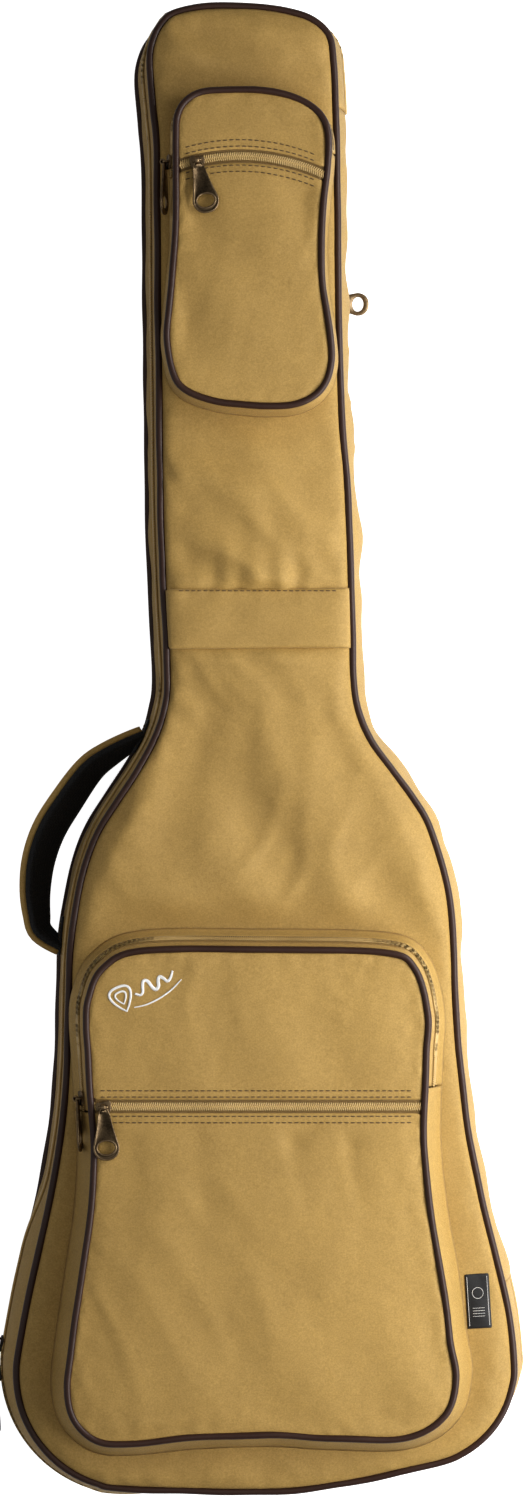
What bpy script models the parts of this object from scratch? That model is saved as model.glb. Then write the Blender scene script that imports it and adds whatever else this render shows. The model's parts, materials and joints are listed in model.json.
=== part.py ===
"""Padded gig bag for an electric guitar, lying on its back with its front cover up.

Units are metres. X runs across the bag, Y from the bottom towards the head end, and Z up, out of the front.
The origin is on the flat underside of the rear pocket. Every seam is measured from the front piping line.
"""

import math

import bmesh
import bpy
from mathutils import Matrix, Vector

MM = 0.001

# ---------------------------------------------------------------- driving dimensions
GAP = 0.3 * MM                    # clearance between pieces that touch

REAR_PANEL_THICK = 2.5 * MM
BACK_OUT_Z = 6.2 * MM             # underside of the back panel
PANEL_THICK = 10 * MM             # foam-padded front and back panels
LINING_THICK = 1.5 * MM
SIDE_HEIGHT = 64 * MM             # side wall between the two linings
WALL_THICK = 8 * MM               # foam-padded side wall
WALL_BULGE = 10.5 * MM            # how far the side wall stands out at its middle
NECK_LENGTH = 300 * MM            # from the top of the shoulders to the head
BACK_SPREAD = 6 * MM              # how much larger the back is than the front
BACK_LEAN = -5 * MM               # the back sits this far to the left of the front
PIPING_R = 2.3 * MM

COIL_HEIGHT = 2.2 * MM
WEB_THICK = 0.6 * MM              # the part of a slider between the two halves of its zip
SLOT = WEB_THICK + 0.37 * COIL_HEIGHT   # gap between the halves, where a slider's web leans
COIL_WIDTH = 2.2 * MM
TAPE_THICK = 1.0 * MM
MAIN_TAPE = 9 * MM                # width of one half of the main zip
POCKET_TAPE = 5 * MM              # width of one half of a pocket's side zip
FACE_TAPE = 7 * MM                # width of the lower half of a pocket's face zip

POCKET_DEPTH = 26 * MM            # height of a pocket's side wall
POCKET_WALL = 2.4 * MM
POCKET_FACE = 2.5 * MM
POCKET_PIPING_R = 2.1 * MM
LOWER_BASE_SPREAD = 11 * MM       # a pocket's base is wider than its face
HEAD_BASE_SPREAD = 7 * MM
SLIDER_WINDOW = 18 * MM           # zip below the fold line, where the side slider parks

PULL_LENGTH = 33 * MM
PULL_WIDE = 16.5 * MM
PULL_NARROW = 7 * MM
PULL_THICK = 1.4 * MM
KNUCKLE_R = 1.9 * MM
KNUCKLE_BORE = 1.15 * MM
KNUCKLE_LENGTH = 2.6 * MM
BAR_R = 0.8 * MM
ARCH_HEIGHT = 3.4 * MM            # the slider's bar above its top plate
SLIDER_GAP = 0.5 * MM             # a slider's plates clear its zip by this
SLIDER_LENGTH = 10 * MM
SLIDER_WIDTH = 8.4 * MM
LEG_OUT = 2.7 * MM                # from the middle of a slider to each leg of its arch
PLATE_THICK = 1.0 * MM
MAIN_SLIDER_SCALE = 1.12          # the main zip is one size up

HANDLE_WIDTH = 30 * MM
HANDLE_SKIN = 3 * MM
HANDLE_PAD = 5 * MM
HANDLE_TILT = math.radians(28)

CRADLE_ARM = 9 * MM
CRADLE_HALF_GAP = 27 * MM
CRADLE_LENGTH = 44 * MM
CRADLE_FLOOR = 10 * MM
CRADLE_HEIGHT = 24 * MM
STRAP_WIDTH = 36 * MM
STRAP_THICK = 1.6 * MM
STRAP_REACH = (27 * MM, 36 * MM)  # left and right straps meet off the middle

# ---------------------------------------------------------------- heights that follow from them
BACK_IN_Z = BACK_OUT_Z + PANEL_THICK
BACK_LINING_Z = BACK_IN_Z + GAP
SIDE_LOW_Z = BACK_LINING_Z + LINING_THICK + GAP
SIDE_HIGH_Z = SIDE_LOW_Z + SIDE_HEIGHT
MID_Z = (SIDE_LOW_Z + SIDE_HIGH_Z) / 2
FRONT_LINING_Z = SIDE_HIGH_Z + GAP
FRONT_IN_Z = FRONT_LINING_Z + LINING_THICK + GAP
FRONT_OUT_Z = FRONT_IN_Z + PANEL_THICK
BACK_PIPING_Z = BACK_OUT_Z + PANEL_THICK / 2
FRONT_PIPING_Z = FRONT_IN_Z + PANEL_THICK / 2
POCKET_LOW_Z = FRONT_OUT_Z + GAP
FACE_LOW_Z = POCKET_LOW_Z + POCKET_DEPTH
FACE_HIGH_Z = FACE_LOW_Z + POCKET_FACE
POCKET_PIPING_Z = FACE_LOW_Z + POCKET_FACE / 2
FOLD_Z = POCKET_PIPING_Z + POCKET_PIPING_R + GAP / 2
POCKET_WALL_TOP = POCKET_PIPING_Z - POCKET_PIPING_R - GAP
POCKET_ZIP_Z = POCKET_LOW_Z + POCKET_DEPTH / 2
FACE_COIL_Z = FACE_LOW_Z + POCKET_FACE / 2
REAR_COIL_Z = BACK_OUT_Z + 1.8 * MM
PLATE_LIFT = COIL_HEIGHT / 2 + SLIDER_GAP + PLATE_THICK   # top of a slider's plate above its zip

# ---------------------------------------------------------------- seam lines, each one counter-clockwise
HEAD_Y = 52 * MM + NECK_LENGTH                     # the head end is measured from here
CORNER_CENTRE = Vector((-91.4, -436.8)) * MM       # the lower left corner, where the main sliders park
CORNER_R = 80.5 * MM
RIGHT_CORNER_CENTRE = Vector((106.4, -431.2)) * MM
RIGHT_CORNER_R = 70 * MM


def arc(centre, radius, start, end, count):
    """Points on a circle from start to end, in degrees."""
    turns = [math.radians(start + (end - start) * i / (count - 1)) for i in range(count)]
    return [(centre[0] + radius * math.cos(a), centre[1] + radius * math.sin(a)) for a in turns]


def in_mm(*points, start=0.0):
    """Points given in millimetres, their heights measured from start."""
    return [(x * MM, start + y * MM) for x, y in points]


BAG_SEAM = (
    arc(CORNER_CENTRE, CORNER_R, 170, 262, 11)
    + in_mm((-43, -518.7), (13, -518.7), (55, -513.8), (96, -505.4))
    + arc(RIGHT_CORNER_CENTRE, RIGHT_CORNER_R, -73, 0, 7)
    + in_mm((172.2, -392), (162.4, -350), (152.3, -308), (144.2, -266), (139, -224), (135.5, -182))
    + in_mm((134, -140), (130.2, -98), (118, -56), (106.4, -35), (91.4, -14), (75.9, 7), (67.2, 28))
    + in_mm((63.9, 52), (63, 90), (60.2, 175), (56, 230))
    + in_mm((53.6, -52), (52.7, 33), (51.6, 93), (49.8, 130), (46.9, 148), (35.7, 159), start=HEAD_Y)
    + in_mm((19.6, 164.6), (0, 168), (-22, 168.8), (-44, 168), (-61.6, 164), (-69, 158), start=HEAD_Y)
    + in_mm((-75.4, 147), (-78.6, 130), (-76, 98), (-73.6, 63), (-72.8, -37), start=HEAD_Y)
    + in_mm((-71.8, 245), (-71, 175), (-69, 115), (-65.9, 52), (-68.6, 28), (-75.3, 7), (-86.8, -14))
    + in_mm((-100.5, -35), (-113.8, -56), (-122.5, -77), (-129, -103), (-134, -140), (-135.4, -182))
    + in_mm((-136.6, -224), (-140, -265), (-147, -308), (-156, -350), (-164, -386))
)
LOWER_SEAM = in_mm(
    (-120, -172), (-121.5, -190), (-120.3, -210), (-119.1, -230), (-117.9, -250), (-116, -283),
    (-119, -326), (-125, -366), (-131.8, -414), (-134.6, -442), (-129.5, -464), (-114, -478), (-91, -479.6),
    (-50, -475.6), (3.5, -473.5), (47, -475.8), (99, -475.6), (126, -461), (134, -434), (130, -407),
    (124.5, -366), (117.2, -324), (112.6, -283), (112, -252), (113.7, -210), (114.6, -183),
    (105.6, -151), (83.5, -140), (0, -138), (-82, -138.7), (-110, -151),
)
HEAD_SEAM = in_mm(
    (-59.4, 72), (-59.4, 58), (-59.4, 43), (-59.4, 28), (-60, 0), (-62, -24), (-64.4, -47), (-65.6, -69),
    (-60.9, -93), (-51.8, -103.6), (-33, -110.5), (-14, -113.2), (3.5, -114.4), (22, -113.1), (36, -107),
    (44.4, -97), (48, -83), (47.4, -68), (45, -50), (41.7, -27), (40.8, 0), (42.8, 28), (45.2, 50), (45.8, 72),
    (41.7, 85.5), (31.4, 95), (15, 101.4), (-8.3, 104.4), (-38, 103.7), (-51.8, 97.3), (-58.4, 86.5), start=HEAD_Y,
)
LOWER_FOLD_Y = -233 * MM          # where the upper part of the lower pocket folds forward
HEAD_FOLD_Y = HEAD_Y + 65 * MM
LOWER_ZIP_Y = -246.5 * MM
HEAD_ZIP_CENTRE = Vector((-15.2 * MM, HEAD_Y - 78 * MM))    # the head pocket's face zip is an arc
HEAD_ZIP_R = 136 * MM
HEAD_ZIP_SPAN = (105.4, 68.8)
HEAD_SLIDER_ANGLE = 102.6

MAIN_ZIP_TOP_Y = HEAD_Y + 99 * MM  # the main zip runs from here, over the head and round the bottom
MAIN_ZIP_BOTTOM_Y = -374.5 * MM
MAIN_SLIDER_Y = -424 * MM
MAIN_SLIDER_TRAVEL = 60 * MM
MAIN_SLIDER_ANGLE = 183.5         # round the lower left corner, in degrees
FACE_PULL_TURN = 4                # degrees by which pulls hang off square
BOTTOM_PULL_TURN = -2
REAR_PULL_TURN = -4
HINGE_TOP = Vector((64.6 * MM, MAIN_ZIP_TOP_Y, MID_Z))
HINGE_BOTTOM = Vector((181.5 * MM, MAIN_ZIP_BOTTOM_Y, MID_Z))

REAR_ZIP_X = 44 * MM
REAR_ZIP_TOP_Y = HEAD_Y - 18 * MM
REAR_ZIP_LENGTH = 250 * MM
REAR_INSET = 14 * MM              # from the back seam to the rear pocket's panel
REAR_EDGE = 7 * MM                # from the rear zip to the rear pocket's panel
REAR_END = 6 * MM                 # the panel's cut-out passes the zip's ends by this
REAR_TAPE_OUTER = 8 * MM
REAR_TAPE_INNER = 9.5 * MM
REAR_RECESS = (40 * MM, REAR_ZIP_LENGTH + 24 * MM)    # hollow in the back panel that the rear zip lies in
REAR_RECESS_OUT = 10 * MM         # the hollow's middle lies further out than the zip
PANEL_EDGE = 2 * MM               # chamfer round a padded panel

HANDLE_LINE = in_mm(
    (-110, -3), (-124, -14.3), (-139.5, -35.8), (-152.6, -57.2), (-160, -78.7), (-162.5, -100), (-161.5, -118),
    (-158.6, -130),
)
HANDLE_Z = 29 * MM
ANCHOR_HEIGHTS = (2 * MM, -134 * MM)
ANCHOR_LENGTH = 26 * MM
ANCHOR_THICK = 1.8 * MM
ANCHOR_BELOW = 7 * MM
ANCHOR_ABOVE = 5 * MM

BAND_LOW_Y = 70 * MM
BAND_HIGH_Y = 113.4 * MM
BAND_THICK = 1.8 * MM
BAND_INSET = 1.5 * MM
LABEL_CENTRE = Vector((151, -385)) * MM
LABEL_SIZE = (17 * MM, 38 * MM)
LABEL_THICK = 0.8 * MM
LABEL_TURN = math.radians(3.5)
CRADLE_CENTRE = Vector((-2, 92)) * MM

COLOURS = {
    "khaki": ((0.42, 0.27, 0.085), 0.75, 0.0),
    "brown_piping": ((0.045, 0.025, 0.02), 0.45, 0.0),
    "zip_tape": ((0.33, 0.20, 0.055), 0.8, 0.0),
    "old_brass": ((0.23, 0.17, 0.10), 0.35, 1.0),
    "black_lining": ((0.012, 0.011, 0.011), 0.9, 0.0),
    "black_pad": ((0.006, 0.006, 0.007), 0.85, 0.0),
    "label": ((0.01, 0.01, 0.01), 0.6, 0.0),
    "foam": ((0.05, 0.05, 0.055), 0.95, 0.0),
}


UP, DOWN, RIGHT = Vector((0, 0, 1)), Vector((0, 0, -1)), Vector((1, 0, 0))
TOWARDS_HEAD, TOWARDS_BOTTOM = Vector((0, 1, 0)), Vector((0, -1, 0))


# ---------------------------------------------------------------- curves
def curve_through(points, closed, steps=8):
    """A smooth Catmull-Rom curve through the points."""
    count = len(points)
    spans = count if closed else count - 1
    out = []
    for i in range(spans):
        near = [(i + k) % count if closed else min(max(i + k, 0), count - 1) for k in (-1, 0, 1, 2)]
        a, b, c, d = (Vector(points[k]) for k in near)
        for j in range(steps):
            t = j / steps
            slope, bend, turn = c - a, 2 * a - 5 * b + 4 * c - d, 3 * b - a - 3 * c + d
            out.append(b + 0.5 * (slope * t + bend * t * t + turn * t ** 3))
    if not closed:
        out.append(Vector(points[-1]))
    return out


def evenly(points, count, closed):
    """The curve again, as count points the same distance apart."""
    loop = points + [points[0]] if closed else points
    reach = [0.0]
    for a, b in zip(loop, loop[1:]):
        reach.append(reach[-1] + (b - a).length)
    parts = count if closed else count - 1
    out, k = [], 0
    for i in range(count):
        target = reach[-1] * i / parts
        while k < len(loop) - 2 and reach[k + 1] < target:
            k += 1
        span = reach[k + 1] - reach[k]
        out.append(loop[k].lerp(loop[k + 1], (target - reach[k]) / span if span else 0.0))
    return out


def by_bend(points, count):
    """A closed curve as count points, closer together where it bends more."""
    total = len(points)
    cost = [0.0]
    for i in range(total):
        a, b, c = points[i - 1], points[i], points[(i + 1) % total]
        step = (c - b).length
        bend = (b - a).angle(c - b) / step
        cost.append(cost[-1] + step * (math.sqrt(bend) + 0.7))
    out, k = [], 0
    for i in range(count):
        while cost[k + 1] <= cost[-1] * i / count:
            k += 1
        out.append(points[k])
    return out


def normals_of(path, closed):
    """Outward unit normals of a counter-clockwise path."""
    out, last = [], len(path) - 1
    for i in range(len(path)):
        before = path[i - 1] if closed or i else path[0]
        after = path[(i + 1) % len(path)] if closed or i < last else path[last]
        along = (after - before).normalized()
        out.append(Vector((along.y, -along.x)))
    return out


def moved_out(path, distance, lean=0.0, closed=True):
    """The path moved out along its normals, and sideways by lean."""
    return [p + n * distance + Vector((lean, 0)) for p, n in zip(path, normals_of(path, closed))]


def crossings(loop, y):
    """Every place where the loop crosses a height y, with the number of the edge it is on."""
    found = []
    for i, (a, b) in enumerate(zip(loop, loop[1:] + loop[:1])):
        if (a.y > y) != (b.y > y):
            found.append((a.lerp(b, (y - a.y) / (b.y - a.y)), i))
    return found


def outermost(loop, y, side):
    """The loop's crossing of a height y that is furthest left (-1) or right (1), with its edge."""
    return max(crossings(loop, y), key=lambda found: found[0].x * side)


def crossing(loop, y, side):
    """Where the loop crosses a height y, on the left (-1) or the right (1)."""
    return outermost(loop, y, side)[0]


def run(loop, start, end, trim=0.0):
    """The loop's own points from start to end, counter-clockwise. Each end is a height and a side of the loop."""
    a, i = outermost(loop, *start)
    b, j = outermost(loop, *end)
    total = len(loop)
    points = [loop[k % total] for k in range(i + 1, j + 1 + (total if j < i else 0))]
    points = [a, *[p for p in points if min((p - a).length, (p - b).length) > 1.5 * MM], b]
    points[0] = a + (points[1] - a).normalized() * trim
    points[-1] = b + (points[-2] - b).normalized() * trim
    return points


BAG_LOOP = by_bend(curve_through(BAG_SEAM, True), 94)
LOWER_LOOP = by_bend(curve_through(LOWER_SEAM, True), 56)
HEAD_LOOP = by_bend(curve_through(HEAD_SEAM, True), 46)


def side_out(z):
    """How far the bag's side stands out from the front piping line at a height."""
    t = (z - BACK_PIPING_Z) / (FRONT_PIPING_Z - BACK_PIPING_Z)
    edges = BACK_SPREAD * (1 - t)
    middle = WALL_BULGE - BACK_SPREAD / 2
    return edges + middle * 4 * t * (1 - t)


def side_lean(z):
    """How far the bag's side leans to the left at a height."""
    return BACK_LEAN * (1 - (z - BACK_PIPING_Z) / (FRONT_PIPING_Z - BACK_PIPING_Z))


def pocket_out(spread):
    """A function of height: how far a pocket's side stands out from its piping line."""
    def out(z):
        return POCKET_PIPING_R * 0.3 + spread * (1 - (z - POCKET_LOW_Z) / POCKET_DEPTH)
    return out


# ---------------------------------------------------------------- solids
def material_named(name):
    found = bpy.data.materials.get(name)
    if found:
        return found
    colour, roughness, metallic = COLOURS[name]
    made = bpy.data.materials.new(name)
    made.use_nodes = True
    shader = made.node_tree.nodes["Principled BSDF"]
    shader.inputs["Base Color"].default_value = (*colour, 1)
    shader.inputs["Roughness"].default_value = roughness
    shader.inputs["Metallic"].default_value = metallic
    made.diffuse_color = (*colour, 1)
    return made


def new_object(name, mesh, material):
    mesh.materials.clear()
    mesh.materials.append(material_named(material))
    obj = bpy.data.objects.new(name, mesh)
    bpy.context.scene.collection.objects.link(obj)
    return obj


def loft(name, sections, material, closed=False):
    """A solid through sections with the same number of points each. Open lofts get flat ends."""
    bm = bmesh.new()
    rings = [[bm.verts.new(p) for p in section] for section in sections]
    pairs = list(zip(rings, rings[1:])) + ([(rings[-1], rings[0])] if closed else [])
    for a, b in pairs:
        for i in range(len(a)):
            j = (i + 1) % len(a)
            bm.faces.new((a[i], a[j], b[j], b[i]))
    if not closed:
        bm.faces.new(list(reversed(rings[0])))
        bm.faces.new(rings[-1])
    bmesh.ops.recalc_face_normals(bm, faces=bm.faces)
    if bm.calc_volume(signed=True) < 0:
        bmesh.ops.reverse_faces(bm, faces=bm.faces)
    mesh = bpy.data.meshes.new(name)
    bm.to_mesh(mesh)
    bm.free()
    return new_object(name, mesh, material)


def plate(name, outline, low, high, material, edge=0.0):
    """A flat piece between two heights, with its rims chamfered by edge."""
    if edge:
        levels = [(-edge, low), (0, low + edge), (0, high - edge), (-edge, high)]
    else:
        levels = [(0, low), (0, high)]
    rings = [[(*p, z) for p in (moved_out(outline, d) if d else outline)] for d, z in levels]
    return loft(name, rings, material)


def follow(name, path, profile, material, closed=False, lean=lambda z: 0.0):
    """Sweeps a profile of (distance out, height) along a path. It may be a function of the path's point."""
    sections = []
    for p, n in zip(path, normals_of(path, closed)):
        points = profile(p, n) if callable(profile) else profile
        sections.append([(p.x + n.x * d + lean(z), p.y + n.y * d, z) for d, z in points])
    return loft(name, sections, material, closed)


def round_profile(out, height, radius, sides=8):
    turns = [2 * math.pi * (i + 0.5) / sides for i in range(sides)]
    return [(out + radius * math.cos(a), height + radius * math.sin(a)) for a in turns]


def slab_profile(low, high, outer, thick, levels=3):
    """A wall's profile between two heights, its outer face following the function outer."""
    heights = [low + (high - low) * i / (levels - 1) for i in range(levels)]
    outside = [(outer(z), z) for z in heights]
    return outside + [(outer(z) - thick, z) for z in reversed(heights)]


def upright_zip_profile(edge_z, coil_z, outer):
    """Half a zip standing in a side wall: tape from edge_z to the coil, which ends at coil_z."""
    neck = coil_z - math.copysign(COIL_WIDTH, coil_z - edge_z)
    low, mid, high = outer(edge_z), outer(neck), outer(coil_z)
    swell = (COIL_HEIGHT - TAPE_THICK) / 2
    outside = [(low, edge_z), (mid + swell, neck), (high + swell, coil_z)]
    back = TAPE_THICK + swell
    return outside + [(high - back, coil_z), (mid - back, neck), (low - TAPE_THICK, edge_z)]


def flat_zip_profile(side, reach, coil_z, edge_z=None):
    """Half a zip lying flat: side is 1 or -1, and reach is the tape's width from the middle of the zip."""
    near, neck = SLOT / 2, SLOT / 2 + COIL_WIDTH
    half_coil, half_tape = COIL_HEIGHT / 2, TAPE_THICK / 2
    edge_z = coil_z if edge_z is None else edge_z
    coil = [(near, -half_coil), (neck, -half_coil), (neck, -half_tape), (neck, half_tape), (neck, half_coil),
            (near, half_coil)]
    points = [(side * x, coil_z + z) for x, z in coil]
    edge = [(side * reach, edge_z - half_tape), (side * reach, edge_z + half_tape)]
    return points[:3] + edge + points[3:]


def box_mesh(size, centre):
    bm = bmesh.new()
    bmesh.ops.create_cube(bm, size=1.0)
    bmesh.ops.scale(bm, vec=size, verts=bm.verts)
    bmesh.ops.translate(bm, vec=centre, verts=bm.verts)
    return bm


def rod_mesh(radius, start, end, sides=6):
    start, end = Vector(start), Vector(end)
    along = end - start
    bm = bmesh.new()
    bmesh.ops.create_cone(bm, cap_ends=True, segments=sides, radius1=radius, radius2=radius, depth=along.length)
    turn = along.to_track_quat("Z", "Y").to_matrix().to_4x4()
    bmesh.ops.transform(bm, matrix=Matrix.Translation((start + end) / 2) @ turn, verts=bm.verts)
    return bm


def outline_mesh(outline, low, high):
    """A flat bmesh plate with the given outline."""
    bm = bmesh.new()
    face = bm.faces.new([bm.verts.new((*p, low)) for p in outline])
    grown = bmesh.ops.extrude_face_region(bm, geom=[face])
    top = [v for v in grown["geom"] if isinstance(v, bmesh.types.BMVert)]
    bmesh.ops.translate(bm, vec=(0, 0, high - low), verts=top)
    bmesh.ops.recalc_face_normals(bm, faces=bm.faces)
    return bm


def combined(name, first, steps):
    """The first bmesh joined with or cut by the others, in order, as one mesh."""
    def to_object(label, bm):
        mesh = bpy.data.meshes.new(label)
        bm.to_mesh(mesh)
        bm.free()
        obj = bpy.data.objects.new(label, mesh)
        bpy.context.scene.collection.objects.link(obj)
        return obj

    base = to_object(name, first)
    helpers = []
    for operation, bm in steps:
        helper = to_object(name + "_step", bm)
        helper.hide_render = True
        helper.display_type = "WIRE"
        cut = base.modifiers.new(operation, "BOOLEAN")
        cut.operation = operation
        cut.object = helper
        helpers.append(helper)
    bpy.context.view_layer.update()
    mesh = bpy.data.meshes.new_from_object(base.evaluated_get(bpy.context.evaluated_depsgraph_get()))
    for obj in [base, *helpers]:
        bpy.data.objects.remove(obj)
    mesh.name = name
    return mesh


# ---------------------------------------------------------------- bodies
def pivot(name, place, parent=None):
    """An empty on a joint's axis. What is parented to it moves with that joint."""
    empty = bpy.data.objects.new(name + "_pivot", None)
    empty.empty_display_size = 0.02
    bpy.context.scene.collection.objects.link(empty)
    empty.location = place
    if parent:
        bpy.context.view_layer.update()
        empty.parent = parent
        empty.location = Vector(place) - parent.matrix_world.translation
    bpy.context.view_layer.update()
    return empty


def carry(empty, *objects):
    """Parents objects to a pivot and puts their origins on it, leaving them where they are."""
    place = empty.matrix_world.translation
    for obj in objects:
        obj.data.transform(Matrix.Translation(-place) @ obj.matrix_world)
        obj.matrix_world = Matrix.Identity(4)
        obj.parent = empty


# ---------------------------------------------------------------- zip sliders and pulls
def slider_mesh(scale, across=False):
    """A slider that runs along +X, with its top towards +Z and its zip in the plane z = 0.

    The bar of its arch runs along the zip, or across it.
    """
    length, width = SLIDER_LENGTH / 2, SLIDER_WIDTH / 2
    shield = [(-length, 0.62), (-length * 0.2, 0.72), (length * 0.5, 1.0), (length, 0.55)]
    shield = [(x, -width * w) for x, w in shield] + [(x, width * w) for x, w in reversed(shield)]
    inner = COIL_HEIGHT / 2 + SLIDER_GAP
    top = PLATE_LIFT
    leg = Vector((0, 1, 0) if across else (1, 0, 0)) * LEG_OUT
    leg_r = 0.85 * BAR_R
    foot = Vector((0, 0, top - PLATE_THICK / 2))
    bar = Vector((0, 0, top + ARCH_HEIGHT))
    steps = [
        ("UNION", outline_mesh(shield, -top, -inner)),
        ("UNION", box_mesh((length * 1.2, WEB_THICK, 2 * inner + PLATE_THICK), (0, 0, 0))),
        ("UNION", rod_mesh(leg_r, foot - leg, bar - leg * 1.01)),
        ("UNION", rod_mesh(leg_r, foot + leg, bar + leg * 1.01)),
        ("UNION", rod_mesh(BAR_R, bar - leg * 1.35, bar + leg * 1.35)),
    ]
    mesh = combined("slider", outline_mesh(shield, inner, top), steps)
    mesh.transform(Matrix.Scale(scale, 4))
    return mesh


def pull_mesh(scale):
    """A pull whose knuckle turns about the X axis, and whose tab runs towards -Y and lies low."""
    low = -KNUCKLE_R
    high = low + PULL_THICK
    corner = PULL_WIDE / 2
    tip = PULL_LENGTH - corner
    tab = [(-PULL_NARROW / 2, 0), (-corner, -tip)]
    tab += [(p[0], p[1]) for p in arc((0, -tip), corner, 180 + 15, 360 - 15, 9)]
    tab += [(corner, -tip), (PULL_NARROW / 2, 0)]
    hole = [(5 * MM * math.cos(a), -tip - 1 * MM + 3.7 * MM * math.sin(a))
            for a in (2 * math.pi * i / 12 for i in range(12))]
    half = KNUCKLE_LENGTH / 2
    shoulder = (PULL_NARROW, 6 * MM, 4 * KNUCKLE_R)
    steps = [
        ("UNION", rod_mesh(KNUCKLE_R, (-half, 0, 0), (half, 0, 0), 10)),
        ("DIFFERENCE", outline_mesh(hole, low - MM, high + MM)),
        ("DIFFERENCE", rod_mesh(KNUCKLE_BORE, (-half - 2 * MM, 0, 0), (half + 2 * MM, 0, 0), 10)),
        ("DIFFERENCE", box_mesh(shoulder, (-half - PULL_NARROW / 2, 0, 0))),
        ("DIFFERENCE", box_mesh(shoulder, (half + PULL_NARROW / 2, 0, 0))),
    ]
    mesh = combined("pull", outline_mesh(tab, low, high), steps)
    mesh.transform(Matrix.Scale(scale, 4))
    return mesh


def frame_of(travel, up):
    """A rotation that turns +X to travel and +Z to up."""
    travel, up = Vector(travel).normalized(), Vector(up).normalized()
    return Matrix((travel, up.cross(travel), up)).transposed().to_4x4()


def add_slider(name, mesh, place, travel, up, parent):
    """A slider on a zip, on a pivot of its own."""
    obj = new_object(name, mesh.copy(), "old_brass")
    obj.matrix_world = Matrix.Translation(place) @ frame_of(travel, up)
    bpy.context.view_layer.update()
    empty = pivot(name, place, parent)
    carry(empty, obj)
    return empty


def add_pull(name, mesh, place, axis, hang, parent):
    """A pull whose knuckle is at place, about axis, with its tab running along hang."""
    axis, hang = Vector(axis).normalized(), Vector(hang).normalized()
    obj = new_object(name, mesh.copy(), "old_brass")
    turn = Matrix((axis, -hang, axis.cross(-hang))).transposed().to_4x4()
    obj.matrix_world = Matrix.Translation(place) @ turn
    bpy.context.view_layer.update()
    empty = pivot(name, place, parent)
    carry(empty, obj)
    return empty


# ---------------------------------------------------------------- the shell
def build_panels():
    """The padded back and front with their linings and pipings. Returns those that open with the cover."""
    inset = PIPING_R + 2 * GAP
    back = moved_out(BAG_LOOP, BACK_SPREAD - inset, side_lean(BACK_PIPING_Z))
    front = moved_out(BAG_LOOP, -inset)
    whole = plate("back_panel", back, BACK_OUT_Z, BACK_IN_Z, "khaki", PANEL_EDGE)
    source = bmesh.new()
    source.from_mesh(whole.data)
    bpy.data.objects.remove(whole)
    recess_depth = REAR_COIL_Z + PLATE_LIFT + GAP - BACK_OUT_Z
    recess_centre = (REAR_ZIP_X + REAR_RECESS_OUT, REAR_ZIP_TOP_Y - REAR_ZIP_LENGTH / 2, BACK_OUT_Z)
    steps = [("DIFFERENCE", box_mesh((*REAR_RECESS, 2 * recess_depth), recess_centre))]
    new_object("back_panel", combined("back_panel", source, steps), "khaki")
    linings = []
    sides = (("back_lining", SIDE_LOW_Z, BACK_LINING_Z), ("front_lining", SIDE_HIGH_Z, FRONT_LINING_Z))
    for name, wall_z, low in sides:
        outline = moved_out(BAG_LOOP, side_out(wall_z) - WALL_THICK, side_lean(wall_z))
        linings.append(plate(name, outline, low, low + LINING_THICK, "black_lining"))
    back_round = round_profile(BACK_SPREAD, BACK_PIPING_Z, PIPING_R, 6)
    front_round = round_profile(0, FRONT_PIPING_Z, PIPING_R, 6)
    follow("back_piping", BAG_LOOP, back_round, "brown_piping", True, side_lean)
    return [
        plate("front_panel", front, FRONT_IN_Z, FRONT_OUT_Z, "khaki", PANEL_EDGE),
        linings[1],
        follow("front_piping", BAG_LOOP, front_round, "brown_piping", True),
    ]


def build_side_walls():
    """The side wall in two halves. The zip joins them, apart from the hinge side, where the wall folds."""
    top, bottom = (MAIN_ZIP_TOP_Y, 1), (MAIN_ZIP_BOTTOM_Y, 1)
    zipped = run(BAG_LOOP, top, bottom)
    hinged = run(BAG_LOOP, bottom, top, 2 * GAP)
    zip_edge = MAIN_TAPE + SLOT / 2
    low_edge, high_edge = MID_Z - zip_edge, MID_Z + zip_edge

    def wall(name, path, low, high, levels):
        profile = slab_profile(low, high, side_out, WALL_THICK, levels)
        return follow(name, path, profile, "khaki", lean=side_lean)

    def half_zip(name, edge_z, coil_z):
        profile = upright_zip_profile(edge_z, coil_z, side_out)
        return follow(name, zipped, profile, "zip_tape", lean=side_lean)

    wall("gusset_back", zipped, SIDE_LOW_Z, low_edge - GAP, 2)
    half_zip("main_zip_back", low_edge, MID_Z - SLOT / 2)
    wall("hinge_gusset_back", hinged, SIDE_LOW_Z, MID_Z - GAP, 3)
    return [
        wall("gusset_front", zipped, high_edge + GAP, SIDE_HIGH_Z, 2),
        half_zip("main_zip_front", high_edge, MID_Z + SLOT / 2),
        wall("hinge_gusset_front", hinged, MID_Z + GAP, SIDE_HIGH_Z, 3),
    ]


def rear_outline():
    """The rear pocket's panel: inside the back seam, and left of its zip."""
    loop = moved_out(BAG_LOOP, BACK_SPREAD - REAR_INSET, side_lean(BACK_PIPING_Z))
    edge = REAR_ZIP_X - REAR_EDGE
    low, high = REAR_ZIP_TOP_Y - REAR_ZIP_LENGTH - REAR_END, REAR_ZIP_TOP_Y + REAR_END
    kept = run(loop, (high, -1), (low, 1))
    return kept + [Vector((edge, low)), Vector((edge, high))]


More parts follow.
